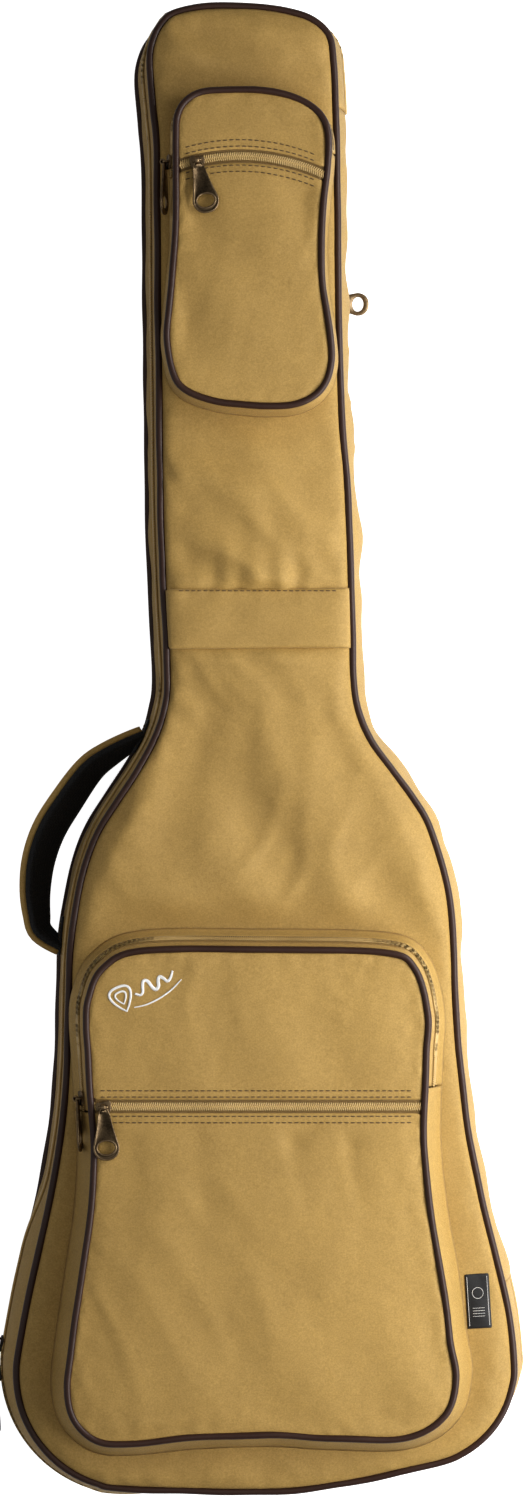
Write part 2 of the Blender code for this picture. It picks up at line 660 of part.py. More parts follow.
def build_rear_pocket():
    plate("rear_pocket_panel", rear_outline(), 0, REAR_PANEL_THICK, "khaki")
    high, low = REAR_ZIP_TOP_Y, REAR_ZIP_TOP_Y - REAR_ZIP_LENGTH
    line = [Vector((REAR_ZIP_X, low + (high - low) * i / 4)) for i in range(5)]
    sewn_z = REAR_PANEL_THICK + GAP + TAPE_THICK / 2
    follow("rear_zip_outer", line, flat_zip_profile(1, REAR_TAPE_OUTER, REAR_COIL_Z), "zip_tape")
    inner = flat_zip_profile(-1, REAR_TAPE_INNER, REAR_COIL_Z, sewn_z)
    follow("rear_zip_inner", line, inner, "zip_tape")


# ---------------------------------------------------------------- pockets
def build_pocket(name, loop, fold_y, out, zip_line):
    """One pocket: its fixed lower part, and the part above the fold line that opens on the side zip."""
    left, right, parked = (fold_y, -1), (fold_y, 1), (fold_y - SLIDER_WINDOW, -1)
    over = run(loop, right, left, GAP)
    under = run(loop, left, right, GAP)
    zip_run = run(loop, right, parked)
    lower_run = run(loop, parked, right, 2 * GAP)
    zip_low, zip_high = POCKET_ZIP_Z - SLOT / 2, POCKET_ZIP_Z + SLOT / 2
    low_edge, high_edge = zip_low - POCKET_TAPE, zip_high + POCKET_TAPE
    piping = round_profile(0, POCKET_PIPING_Z, POCKET_PIPING_R, 6)
    face = moved_out(loop, -POCKET_PIPING_R - 2 * GAP)
    below_zip = lower_face(face, zip_line, FACE_TAPE + GAP)
    face_tape = flat_zip_profile(1, FACE_TAPE, FACE_COIL_Z)

    def wall(part, path, low, high):
        return follow(name + part, path, slab_profile(low, high, out, POCKET_WALL, 2), "khaki")

    def half_zip(part, path, edge_z, coil_z):
        return follow(name + part, path, upright_zip_profile(edge_z, coil_z, out), "zip_tape")

    def up_to_fold(p, n):
        """The upper tape reaches the fold line, wherever the zip curves away from it."""
        return flat_zip_profile(-1, (fold_y - GAP - p.y) / -n.y, FACE_COIL_Z)

    fixed = [
        wall("_gusset_lower", lower_run, POCKET_LOW_Z, POCKET_WALL_TOP),
        wall("_gusset_back", zip_run, POCKET_LOW_Z, low_edge - GAP),
        half_zip("_zip_back", zip_run, low_edge, zip_low),
        follow(name + "_piping_lower", under, piping, "brown_piping"),
        plate(name + "_face_lower", below_zip, FACE_LOW_Z, FACE_HIGH_Z, "khaki"),
        follow(name + "_face_zip_lower", zip_line, face_tape, "zip_tape"),
        follow(name + "_face_zip_upper", zip_line, up_to_fold, "zip_tape"),
    ]
    flap = [
        wall("_gusset_front", over, high_edge + GAP, POCKET_WALL_TOP),
        half_zip("_zip_front", over, high_edge, zip_high),
        follow(name + "_piping_upper", over, piping, "brown_piping"),
        plate(name + "_face_upper", run(face, right, left, GAP), FACE_LOW_Z, FACE_HIGH_Z, "khaki"),
    ]
    return fixed, flap


def lower_face(face, zip_line, below):
    """The pocket's face below its zip: the seam, closed by a line that follows the zip."""
    lowered = [p + n * below for p, n in zip(zip_line, normals_of(zip_line, False))]
    seam = run(face, (lowered[0].y, -1), (lowered[-1].y, 1))
    clear = 2 * MM
    return seam + [p for p in reversed(lowered) if seam[0].x + clear < p.x < seam[-1].x - clear]


def lower_zip_line():
    """The lower pocket's face zip, from left to right."""
    inset = POCKET_PIPING_R + 2 * GAP
    left = crossing(LOWER_LOOP, LOWER_ZIP_Y, -1).x + inset
    right = crossing(LOWER_LOOP, LOWER_ZIP_Y, 1).x - inset
    return [Vector((left + (right - left) * i / 6, LOWER_ZIP_Y)) for i in range(7)]


def head_zip_line():
    start, end = HEAD_ZIP_SPAN
    return [Vector(p) for p in arc(HEAD_ZIP_CENTRE, HEAD_ZIP_R, start, end, 13)]


# ---------------------------------------------------------------- handle, band, label, neck rest
def handle_axis():
    """The two ends of the handle's hinge line."""
    return Vector((*HANDLE_LINE[0], HANDLE_Z)), Vector((*HANDLE_LINE[-1], HANDLE_Z))


def build_handle():
    """The handle's outer skin and its pad, side by side in one tilted strap."""
    path = evenly(curve_through(HANDLE_LINE, False), 18, False)
    count = len(path)
    nodes = []
    for name, near, far, material in (("handle_strap", 0, HANDLE_SKIN, "khaki"),
                                      ("handle_pad", -GAP - HANDLE_PAD, -GAP, "black_pad")):
        sections = []
        for i, (p, n) in enumerate(zip(path, normals_of(path, False))):
            ends = math.sin(math.pi * (i + 1.5) / (count + 2)) ** 0.35
            half = HANDLE_WIDTH / 2 * ends
            outward = Vector((n.x, n.y, 0))
            across = UP * math.cos(HANDLE_TILT) + outward * math.sin(HANDLE_TILT)
            out = outward * math.cos(HANDLE_TILT) - UP * math.sin(HANDLE_TILT)
            centre = Vector((p.x, p.y, HANDLE_Z))
            sections.append([centre + across * a + out * b
                             for a, b in ((-half, near), (half, near), (half, far), (-half, far))])
        nodes.append(loft(name, sections, material))
    return nodes


def build_anchors():
    """The two patches that sew the handle to the back half of the side wall."""
    def over_wall(z):
        return side_out(z) + 2 * GAP + ANCHOR_THICK

    low, high = HANDLE_Z - ANCHOR_BELOW, HANDLE_Z + ANCHOR_ABOVE
    patch = slab_profile(low, high, over_wall, ANCHOR_THICK, 2)
    for name, y in zip(("handle_anchor_upper", "handle_anchor_lower"), ANCHOR_HEIGHTS):
        path = run(BAG_LOOP, (y + ANCHOR_LENGTH / 2, -1), (y - ANCHOR_LENGTH / 2, -1))
        follow(name, path, patch, "black_pad", lean=side_lean)


def build_trim():
    """The band across the neck and the blank side label, both on the front panel."""
    low, high = POCKET_LOW_Z, POCKET_LOW_Z + BAND_THICK
    inset = PIPING_R + GAP + BAND_INSET
    left = [crossing(BAG_LOOP, y, -1) + Vector((inset, 0)) for y in (BAND_HIGH_Y, BAND_LOW_Y)]
    right = [crossing(BAG_LOOP, y, 1) - Vector((inset, 0)) for y in (BAND_LOW_Y, BAND_HIGH_Y)]
    band = plate("neck_band", left + right, low, high, "khaki")
    w, h = LABEL_SIZE[0] / 2, LABEL_SIZE[1] / 2
    turn = Matrix.Rotation(LABEL_TURN, 2)
    corners = [LABEL_CENTRE + turn @ Vector(c) for c in ((-w, -h), (w, -h), (w, h), (-w, h))]
    return [band, plate("side_label", corners, low, low + LABEL_THICK, "label")]


def build_neck_rest():
    """The foam cradle that holds the guitar's neck, and the two hook-and-loop straps that meet over it."""
    low = SIDE_LOW_Z
    arm, gap = CRADLE_ARM, CRADLE_HALF_GAP
    half = arm + gap
    top = low + CRADLE_HEIGHT
    floor = low + CRADLE_FLOOR
    right = [(half, low), (half, top), (gap, top), (gap * 0.8, floor + 3 * MM), (gap * 0.5, floor)]
    profile = right + [(-x, z) for x, z in reversed(right)]
    ends = (CRADLE_CENTRE.y - CRADLE_LENGTH / 2, CRADLE_CENTRE.y + CRADLE_LENGTH / 2)
    loft("neck_cradle", [[(CRADLE_CENTRE.x + x, y, z) for x, z in profile] for y in ends], "foam")
    z = top + GAP
    for name, side, reach in (("neck_strap_left", -1, STRAP_REACH[0]), ("neck_strap_right", 1, STRAP_REACH[1])):
        root_x = CRADLE_CENTRE.x + side * (gap + arm / 2)
        left, right = sorted((root_x, root_x - side * (reach - GAP)))
        low_y, high_y = CRADLE_CENTRE.y - STRAP_WIDTH / 2, CRADLE_CENTRE.y + STRAP_WIDTH / 2
        outline = [Vector(p) for p in ((left, low_y), (right, low_y), (right, high_y), (left, high_y))]
        strap = plate(name, outline, z, z + STRAP_THICK, "black_pad")
        carry(pivot(name, (root_x, CRADLE_CENTRE.y, z + STRAP_THICK)), strap)


# ---------------------------------------------------------------- where sliders and pulls sit
def side_frame(loop, y, reach, out, z, lean=lambda z: 0.0):
    """Where a zip slider sits on the left side of a loop: the place, its travel and its outward direction.

    The travel is the mean direction of the side over reach, upwards from y.
    """
    along = (crossing(loop, y + reach, -1) - crossing(loop, y, -1)).normalized()
    outward = Vector((-along.y, along.x))
    here = crossing(loop, y, -1) + outward * (out(z) - TAPE_THICK / 2)
    slope = out(z - MM) - out(z + MM) + outward.x * (lean(z - MM) - lean(z + MM))
    up = Vector((*outward, slope / (2 * MM))).normalized()
    return Vector((here.x + lean(z), here.y, z)), Vector((*along, 0)), up


def knuckle(place, up, scale=1.0):
    """The middle of a slider's bar."""
    return place + up * (PLATE_LIFT + ARCH_HEIGHT) * scale


def turned(vector, axis, degrees):
    return Matrix.Rotation(math.radians(degrees), 3, axis) @ Vector(vector)


def build_zip_hardware(cover):
    plain, crossed, pull = slider_mesh(1.0), slider_mesh(1.0, True), pull_mesh(1.0)
    big_plain, big_crossed = slider_mesh(MAIN_SLIDER_SCALE), slider_mesh(MAIN_SLIDER_SCALE, True)
    big_pull = pull_mesh(MAIN_SLIDER_SCALE)

    # face zips: the bar runs along the zip, and the pull hangs across it
    place = Vector((lower_zip_line()[0].x + SLIDER_LENGTH / 2 + MM, LOWER_ZIP_Y, FACE_COIL_Z))
    slider = add_slider("lower_pocket_face_slider", plain, place, RIGHT, UP, cover)
    axis, hang = turned(RIGHT, UP, FACE_PULL_TURN), turned(TOWARDS_BOTTOM, UP, FACE_PULL_TURN)
    add_pull("lower_pocket_face_pull", pull, knuckle(place, UP), axis, hang, slider)
    angle = math.radians(HEAD_SLIDER_ANGLE)
    spoke = Vector((math.cos(angle), math.sin(angle), 0))
    place = Vector((*HEAD_ZIP_CENTRE, FACE_COIL_Z)) + spoke * HEAD_ZIP_R
    travel = Vector((spoke.y, -spoke.x, 0))
    slider = add_slider("head_pocket_face_slider", plain, place, travel, UP, cover)
    add_pull("head_pocket_face_pull", pull, knuckle(place, UP), travel, turned(travel, UP, -90), slider)

    # side zips of the pockets: the bar runs across the zip, and the pull hangs along it
    for name, loop, fold_y, out in POCKETS:
        slider_y = fold_y - SLIDER_LENGTH * 0.85
        place, travel, up = side_frame(loop, slider_y, 20 * MM, out, POCKET_ZIP_Z)
        slider = add_slider(name + "_side_slider", crossed, place, travel, up, cover)
        add_pull(name + "_side_pull", pull, knuckle(place, up), up.cross(travel), travel * -1, slider)

    # main zip: one slider on the straight side, whose pull hangs across it, and one on the round corner
    place, travel, up = side_frame(BAG_LOOP, MAIN_SLIDER_Y, MAIN_SLIDER_TRAVEL, side_out, MID_Z, side_lean)
    slider = add_slider("main_slider_side", big_plain, place, travel, up, None)
    bar = knuckle(place, up, MAIN_SLIDER_SCALE)
    add_pull("main_pull_side", big_pull, bar, travel, travel.cross(RIGHT).normalized(), slider)
    angle = math.radians(MAIN_SLIDER_ANGLE)
    spoke = Vector((math.cos(angle), math.sin(angle), 0))
    place = Vector((CORNER_CENTRE.x + side_lean(MID_Z), CORNER_CENTRE.y, MID_Z))
    place += spoke * (CORNER_R + side_out(MID_Z) - TAPE_THICK / 2)
    above = MID_Z + MM
    slope = side_out(MID_Z) - side_out(above) + spoke.x * (side_lean(MID_Z) - side_lean(above))
    up = (spoke + UP * slope / MM).normalized()
    travel = Vector((-spoke.y, spoke.x, 0))
    slider = add_slider("main_slider_bottom", big_crossed, place, travel, up, None)
    axis = up.cross(travel)
    bar = knuckle(place, up, MAIN_SLIDER_SCALE)
    add_pull("main_pull_bottom", big_pull, bar, axis, turned(travel, axis, BOTTOM_PULL_TURN), slider)

    # rear pocket: the slider parks at the head end, and its pull sticks out past the side
    place = Vector((REAR_ZIP_X, REAR_ZIP_TOP_Y - SLIDER_LENGTH, REAR_COIL_Z))
    slider = add_slider("rear_slider", plain, place, TOWARDS_HEAD, DOWN, None)
    axis, hang = turned(TOWARDS_BOTTOM, UP, REAR_PULL_TURN), turned(RIGHT, UP, REAR_PULL_TURN)
    add_pull("rear_pull", pull, knuckle(place, DOWN), axis, hang, slider)


# ---------------------------------------------------------------- assembly
POCKETS = (
    ("lower_pocket", LOWER_LOOP, LOWER_FOLD_Y, pocket_out(LOWER_BASE_SPREAD)),
    ("head_pocket", HEAD_LOOP, HEAD_FOLD_Y, pocket_out(HEAD_BASE_SPREAD)),
)


def centre_on_origin():
    """Moves everything so that the origin is under the middle of the bounding box."""
    bpy.context.view_layer.update()
    solids = [obj for obj in bpy.data.objects if obj.type == "MESH"]
    corners = [obj.matrix_world @ v.co for obj in solids for v in obj.data.vertices]
    low = Vector([min(c[i] for c in corners) for i in range(3)])
    high = Vector([max(c[i] for c in corners) for i in range(3)])
    middle = Vector(((low.x + high.x) / 2, (low.y + high.y) / 2, low.z))
    for obj in bpy.data.objects:
        if obj.parent is None:
            obj.location -= middle


def main():
    for obj in list(bpy.data.objects):
        bpy.data.objects.remove(obj)
    cover = pivot("cover", HINGE_BOTTOM.lerp(HINGE_TOP, 0.5))
    cover_parts = build_panels() + build_side_walls() + build_trim()
    carry(cover, *cover_parts)
    build_rear_pocket()
    build_anchors()
    for (name, loop, fold_y, out), zip_line in zip(POCKETS, (lower_zip_line(), head_zip_line())):
        fixed, flap = build_pocket(name, loop, fold_y, out, zip_line)
        carry(cover, *fixed)
        carry(pivot(name + "_flap", (0, fold_y, FOLD_Z), cover), *flap)
    start, end = handle_axis()
    carry(pivot("handle", (start + end) / 2), *build_handle())
    build_neck_rest()
    build_zip_hardware(cover)
    centre_on_origin()


main()
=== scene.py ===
"""The looks of a padded gig bag for an electric guitar: fabric, piping, zips, handle and trim.

Units are metres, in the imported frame. The bag lies on its back with its head end towards +Y.
"""

import json
import math

import bmesh
import bpy
import numpy as np
from mathutils import Matrix, Vector
from mathutils.bvhtree import BVHTree
from mathutils.geometry import delaunay_2d_cdt
from mathutils.kdtree import KDTree


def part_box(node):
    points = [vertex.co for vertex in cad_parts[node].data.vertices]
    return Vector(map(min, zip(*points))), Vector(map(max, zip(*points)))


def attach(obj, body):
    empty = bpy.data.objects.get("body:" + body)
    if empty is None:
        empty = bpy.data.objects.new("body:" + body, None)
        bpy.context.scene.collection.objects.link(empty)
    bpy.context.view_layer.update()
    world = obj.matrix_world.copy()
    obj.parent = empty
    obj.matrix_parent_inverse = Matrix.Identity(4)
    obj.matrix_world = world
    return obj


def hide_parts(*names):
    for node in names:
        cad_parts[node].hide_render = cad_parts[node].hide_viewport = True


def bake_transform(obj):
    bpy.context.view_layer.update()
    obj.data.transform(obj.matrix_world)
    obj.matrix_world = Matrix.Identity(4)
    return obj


MM = 0.001

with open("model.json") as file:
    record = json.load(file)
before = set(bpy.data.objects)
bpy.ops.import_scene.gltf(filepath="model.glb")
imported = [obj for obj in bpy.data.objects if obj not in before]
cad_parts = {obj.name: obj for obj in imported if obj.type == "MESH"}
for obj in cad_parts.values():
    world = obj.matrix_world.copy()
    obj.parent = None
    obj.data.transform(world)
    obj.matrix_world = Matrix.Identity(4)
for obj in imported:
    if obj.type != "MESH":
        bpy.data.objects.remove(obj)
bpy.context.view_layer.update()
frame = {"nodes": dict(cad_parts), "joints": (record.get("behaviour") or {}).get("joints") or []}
JOINTS = {joint["name"]: joint for joint in frame["joints"]}


# ---- places taken from the frame
def low(node):
    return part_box(node)[0]


def high(node):
    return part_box(node)[1]


def middle(node):
    return (low(node) + high(node)) / 2


FRONT_PIPING_Z = middle("front_piping").z
BACK_PIPING_Z = middle("back_piping").z
PIPING_R = (high("front_piping").z - low("front_piping").z) / 2 / math.cos(math.pi / 6)
FRONT_Z = high("front_panel").z
BACK_Z = low("back_panel").z
POCKET_PIPING_Z = middle("lower_pocket_piping_upper").z
POCKET_PIPING_R = PIPING_R * 0.92
POCKET_BASE_Z = low("lower_pocket_gusset_lower").z
POCKET_ZIP_Z = (high("lower_pocket_zip_back").z + low("lower_pocket_zip_front").z) / 2
MAIN_ZIP_Z = (high("main_zip_back").z + low("main_zip_front").z) / 2
REAR_ZIP_Z = middle("rear_zip_outer").z

# ---- seam lines, before they are moved into the frame
HEAD_Y = 0.352                    # the head end is measured from here
BACK_SPREAD = 6 * MM              # how much larger the back is than the front
BACK_LEAN = -5 * MM               # the back sits this far to the left of the front
WALL_BULGE = 10.5 * MM            # how far the side wall stands out at its middle
WALL_THICK = 8 * MM
POCKET_WALL = 2.4 * MM
MAIN_TAPE = 9 * MM                # width of one half of the main zip's tape
POCKET_TAPE = 5 * MM
FACE_OPENING = 4.4 * MM           # from the middle of a face zip to the folded edge of the fabric
SLIDER_WINDOW = 18 * MM           # zip below a pocket's fold line
FOLD_HALF = 5 * MM                # a pocket's flap bends over this much on either side of its fold line
FACE_ROWS = (2.2 * MM, 6.6 * MM)  # from a face's folded edge to its two rows of stitches


def arc(centre, radius, start, end, count):
    turns = np.radians(np.linspace(start, end, count))
    return [(centre[0] + radius * math.cos(a), centre[1] + radius * math.sin(a)) for a in turns]


def in_mm(*points, start=0.0):
    """Points given in millimetres, their heights measured from start."""
    return [(x * MM, start + y * MM) for x, y in points]


BAG_POINTS = (
    arc((-0.0914, -0.4368), 0.0805, 170, 262, 11)
    + in_mm((-43, -518.7), (13, -518.7), (55, -513.8), (96, -505.4))
    + arc((0.1064, -0.4312), 0.07, -73, 0, 7)
    + in_mm((172.2, -392), (162.4, -350), (152.3, -308), (144.2, -266), (139, -224), (135.5, -182))
    + in_mm((134, -140), (130.2, -98), (118, -56), (106.4, -35), (91.4, -14), (75.9, 7), (67.2, 28))
    + in_mm((63.9, 52), (63, 90), (60.2, 175), (56, 230))
    + in_mm((53.6, -52), (52.7, 33), (51.6, 93), (49.8, 130), (46.9, 148), (35.7, 159), start=HEAD_Y)
    + in_mm((19.6, 164.6), (0, 168), (-22, 168.8), (-44, 168), (-61.6, 164), (-69, 158), start=HEAD_Y)
    + in_mm((-75.4, 147), (-78.6, 130), (-76, 98), (-73.6, 63), (-72.8, -37), start=HEAD_Y)
    + in_mm((-71.8, 245), (-71, 175), (-69, 115), (-65.9, 52), (-68.6, 28), (-75.3, 7), (-86.8, -14))
    + in_mm((-100.5, -35), (-113.8, -56), (-122.5, -77), (-129, -103), (-134, -140), (-135.4, -182))
    + in_mm((-136.6, -224), (-140, -265), (-147, -308), (-156, -350), (-164, -386))
)
LOWER_POINTS = in_mm(
    (-120, -172), (-121.5, -190), (-120.3, -210), (-119.1, -230), (-117.9, -250), (-116, -283),
    (-119, -326), (-125, -366), (-131.8, -414), (-134.6, -442), (-129.5, -464), (-114, -478), (-91, -479.6),
    (-50, -475.6), (3.5, -473.5), (47, -475.8), (99, -475.6), (126, -461), (134, -434), (130, -407),
    (124.5, -366), (117.2, -324), (112.6, -283), (112, -252), (113.7, -210), (114.6, -183),
    (105.6, -151), (83.5, -140), (0, -138), (-82, -138.7), (-110, -151),
)
HEAD_POINTS = in_mm(
    (-59.4, 72), (-59.4, 58), (-59.4, 43), (-59.4, 28), (-60, 0), (-62, -24), (-64.4, -47), (-65.6, -69),
    (-60.9, -93), (-51.8, -103.6), (-33, -110.5), (-14, -113.2), (3.5, -114.4), (22, -113.1), (36, -107),
    (44.4, -97), (48, -83), (47.4, -68), (45, -50), (41.7, -27), (40.8, 0), (42.8, 28), (45.2, 50),
    (45.8, 72), (41.7, 85.5), (31.4, 95), (15, 101.4), (-8.3, 104.4), (-38, 103.7), (-51.8, 97.3),
    (-58.4, 86.5), start=HEAD_Y,
)
HANDLE_POINTS = in_mm(
    (-110, -3), (-124, -14.3), (-139.5, -35.8), (-152.6, -57.2), (-160, -78.7), (-162.5, -100),
    (-161.5, -118), (-158.6, -130),
)


# ---- curves, as rows of (x, y)
def curve_through(points, closed=True, steps=14):
    """A smooth Catmull-Rom curve through the points."""
    points = np.asarray(points, float)
    count = len(points)
    t = np.linspace(0, 1, steps, endpoint=False)[:, None]
    out = []
    for i in range(count if closed else count - 1):
        near = [(i + k) % count if closed else min(max(i + k, 0), count - 1) for k in (-1, 0, 1, 2)]
        a, b, c, d = points[near]
        straight = (c - a) * t
        bent = (2 * a - 5 * b + 4 * c - d) * t ** 2
        curled = (3 * b - a - 3 * c + d) * t ** 3
        out.append(b + 0.5 * (straight + bent + curled))
    if not closed:
        out.append(points[-1:])
    return np.concatenate(out)


def lengths(path):
    """How far along the path each of its points is."""
    return np.concatenate([[0], np.cumsum(np.linalg.norm(np.diff(path, axis=0), axis=1))])


def evenly(path, spacing, closed=False):
    """The path again, in steps of about this spacing. Works in 2-D and 3-D."""
    whole = np.concatenate([path, path[:1]]) if closed else path
    reach = lengths(whole)
    count = max(int(round(reach[-1] / spacing)), 4)
    targets = np.linspace(0, reach[-1], count + 1)
    out = np.stack([np.interp(targets, reach, whole[:, k]) for k in range(whole.shape[1])], 1)
    return out[:-1] if closed else out


def unit_rows(rows):
    return rows / np.linalg.norm(rows, axis=1)[:, None]


def tangents(path, closed=False):
    return unit_rows(np.roll(path, -1, 0) - np.roll(path, 1, 0) if closed else np.gradient(path, axis=0))


def normals(path, closed=False):
    """Outward normals of a counter-clockwise path."""
    along = tangents(path, closed)
    return np.stack([along[:, 1], -along[:, 0]], 1)


def raised(flat, z):
    """Flat points at a height, or each at its own."""
    return np.column_stack([flat, np.broadcast_to(z, len(flat))])


def round_turns(count):
    """Even angles once round, in radians."""
    return np.linspace(0, 2 * math.pi, count, endpoint=False)


def cross_at(loop, y, side):
    """The number of the loop's point just before it crosses a height y, furthest left (-1) or right (1)."""
    after = np.roll(loop, -1, 0)
    found = np.nonzero((loop[:, 1] > y) != (after[:, 1] > y))[0]
    return int(found[np.argmax(loop[found, 0] * side)])


def stretch(loop, start, end):
    """The loop's points from start to end, counter-clockwise. Each end is a height and a side of the loop."""
    i, j = cross_at(loop, *start) + 1, cross_at(loop, *end)
    if j < i:
        j += len(loop)
    return loop[np.arange(i, j + 1) % len(loop)]


def seam(points, spacing=1.5 * MM):
    return evenly(curve_through(points) + SHIFT, spacing, True)


rough_bag = curve_through(BAG_POINTS)
SHIFT = np.array(middle("front_piping").xy) - (rough_bag.min(0) + rough_bag.max(0)) / 2
BAG, LOWER, HEAD = seam(BAG_POINTS), seam(LOWER_POINTS), seam(HEAD_POINTS)
SHIFT_X, SHIFT_Y = SHIFT
LOWER_FOLD_Y = JOINTS["lower_pocket_flap_fold"]["pos_m"][1]
HEAD_FOLD_Y = JOINTS["head_pocket_flap_fold"]["pos_m"][1]
LOWER_ZIP_Y = middle("lower_pocket_face_slider").y
HEAD_ZIP_CENTRE = np.array(JOINTS["head_pocket_face_zip_run"]["pos_m"][:2])
HEAD_ZIP_R = float(np.linalg.norm(np.array(middle("head_pocket_face_slider").xy) - HEAD_ZIP_CENTRE))
ZIP_TOP_Y = high("hinge_gusset_front").y
ZIP_BOTTOM_Y = low("hinge_gusset_front").y


def side_out(z):
    """How far the bag's side stands out from the front piping line at a height."""
    t = (z - BACK_PIPING_Z) / (FRONT_PIPING_Z - BACK_PIPING_Z)
    return BACK_SPREAD * (1 - t) + (WALL_BULGE - BACK_SPREAD / 2) * 4 * t * (1 - t)


def side_lean(z):
    """How far the bag's side leans to the left at a height."""
    return BACK_LEAN * (1 - (z - BACK_PIPING_Z) / (FRONT_PIPING_Z - BACK_PIPING_Z))


def pocket_out(spread):
    """A function of height: how far a pocket's side stands out from its piping line."""
    def out(z):
        share = (z - POCKET_BASE_Z) / (POCKET_PIPING_Z - POCKET_BASE_Z)
        return POCKET_PIPING_R * 0.3 + spread * (1 - share)
    return out


# ---- soft random shapes
def waves(p, seed, length, angle=0.0, spread=math.pi, count=12):
    """Smooth random heights at points p, from waves of about this length that run near an angle."""
    rng = np.random.default_rng(seed)
    total = np.zeros(len(p))
    for _ in range(count):
        a = angle + rng.uniform(-spread, spread)
        k = 2 * math.pi / length * rng.uniform(0.65, 1.5)
        total += np.cos((p[:, 0] * math.cos(a) + p[:, 1] * math.sin(a)) * k + rng.uniform(0, 2 * math.pi))
    return total / math.sqrt(count / 2)


def along_waves(s, seed, length):
    """Smooth random heights along a length s."""
    return waves(np.stack([s, np.zeros_like(s)], 1), seed, length, 0, 0.3)


def step(x, start, end):
    t = np.clip((x - start) / (end - start), 0, 1)
    return t * t * (3 - 2 * t)


def creases(p, seed, length, angle, spread=0.35):
    """Soft ridges that run across an angle and come and go."""
    ridge = np.exp(-(waves(p, seed, length, angle, spread) / 0.7) ** 2)
    return ridge * step(waves(p, seed + 100, length * 3.2), -0.9, 1.2)


def fan(p, source, seed, count, angle=0.0, spread=0.2):
    """Soft folds that spread out from a place. count is about how many there are in a whole turn."""
    away = p - np.asarray(source)
    turn = np.arctan2(away[:, 0], -away[:, 1])
    reach = np.linalg.norm(away, axis=1)
    return waves(np.stack([turn, reach * 2.0], 1), seed, 2 * math.pi / count, angle, spread)


# ---- meshes
def finished(name, verts, faces, materials, marks=None):
    """A smooth object from vertices and faces, facing out. marks gives each face's material."""
    mesh = bpy.data.meshes.new(name)
    mesh.from_pydata(np.asarray(verts).tolist(), [], faces)
    for material in materials if isinstance(materials, (list, tuple)) else [materials]:
        mesh.materials.append(material)
    if marks is not None:
        mesh.polygons.foreach_set("material_index", np.asarray(marks, np.int32))
    bm = bmesh.new()
    bm.from_mesh(mesh)
    bmesh.ops.recalc_face_normals(bm, faces=bm.faces)
    bm.to_mesh(mesh)
    bm.free()
    mesh.polygons.foreach_set("use_smooth", np.ones(len(mesh.polygons), bool))
    obj = bpy.data.objects.new(name, mesh)
    bpy.context.scene.collection.objects.link(obj)
    return obj


def ring_faces(stations, sides, closed=False):
    """The faces of a skin through rings, with a cap at each end unless the rings close on themselves."""
    faces = []
    for i in range(stations if closed else stations - 1):
        a, b = i * sides, (i + 1) % stations * sides
        faces += [[a + k, a + (k + 1) % sides, b + (k + 1) % sides, b + k] for k in range(sides)]
    if not closed:
        faces += [list(range(sides))[::-1], list(range((stations - 1) * sides, stations * sides))]
    return faces


def skin(name, rings, materials, closed=False, marks=None):
    """A closed skin through rings of 3-D points, one ring at each station. marks gives a material by side."""
    stations, sides, _ = rings.shape
    picked = None if marks is None else marks * (stations - 1) + [0, 0]
    return finished(name, rings.reshape(-1, 3), ring_faces(stations, sides, closed), materials, picked)


def rings_along(path, outs, heights, lean=None):
    """Rings from distances out and heights, each a table of station by side."""
    n = normals(path)
    x = path[:, :1] + n[:, :1] * outs
    y = path[:, 1:] + n[:, 1:] * outs
    if lean is not None:
        x = x + lean(heights)
    return np.stack([x, y, np.broadcast_to(heights, x.shape)], -1)


def tube(name, centre, radius, material):
    """A round cord along a closed 3-D centre line."""
    along = tangents(centre, True)
    across = unit_rows(np.cross(along, np.array([0, 0, 1.0])))
    over = np.cross(across, along)
    turns = round_turns(12)[None, :, None]
    sideways = across[:, None] * np.cos(turns) * radius
    upwards = over[:, None] * np.sin(turns) * radius
    return skin(name, centre[:, None] + sideways + upwards, material, True)


def distance_to(line, p):
    """How far each point is from a line of closely spaced points, and the number of the nearest one."""
    tree = KDTree(len(line))
    for i, q in enumerate(line):
        tree.insert((*q, 0), i)
    tree.balance()
    found = [tree.find((*q, 0)) for q in p]
    return np.array([f[2] for f in found]), np.array([f[1] for f in found])


def inside(outline, p):
    """Which points lie within a closed outline."""
    a, b = outline, np.roll(outline, -1, 0)
    hits = np.zeros(len(p), int)
    for (ax, ay), (bx, by) in zip(a, b):
        if ay != by:
            rows = (p[:, 1] > ay) != (p[:, 1] > by)
            hits += rows & (p[:, 0] < (bx - ax) * (p[:, 1] - ay) / (by - ay) + ax)
    return hits % 2 == 1


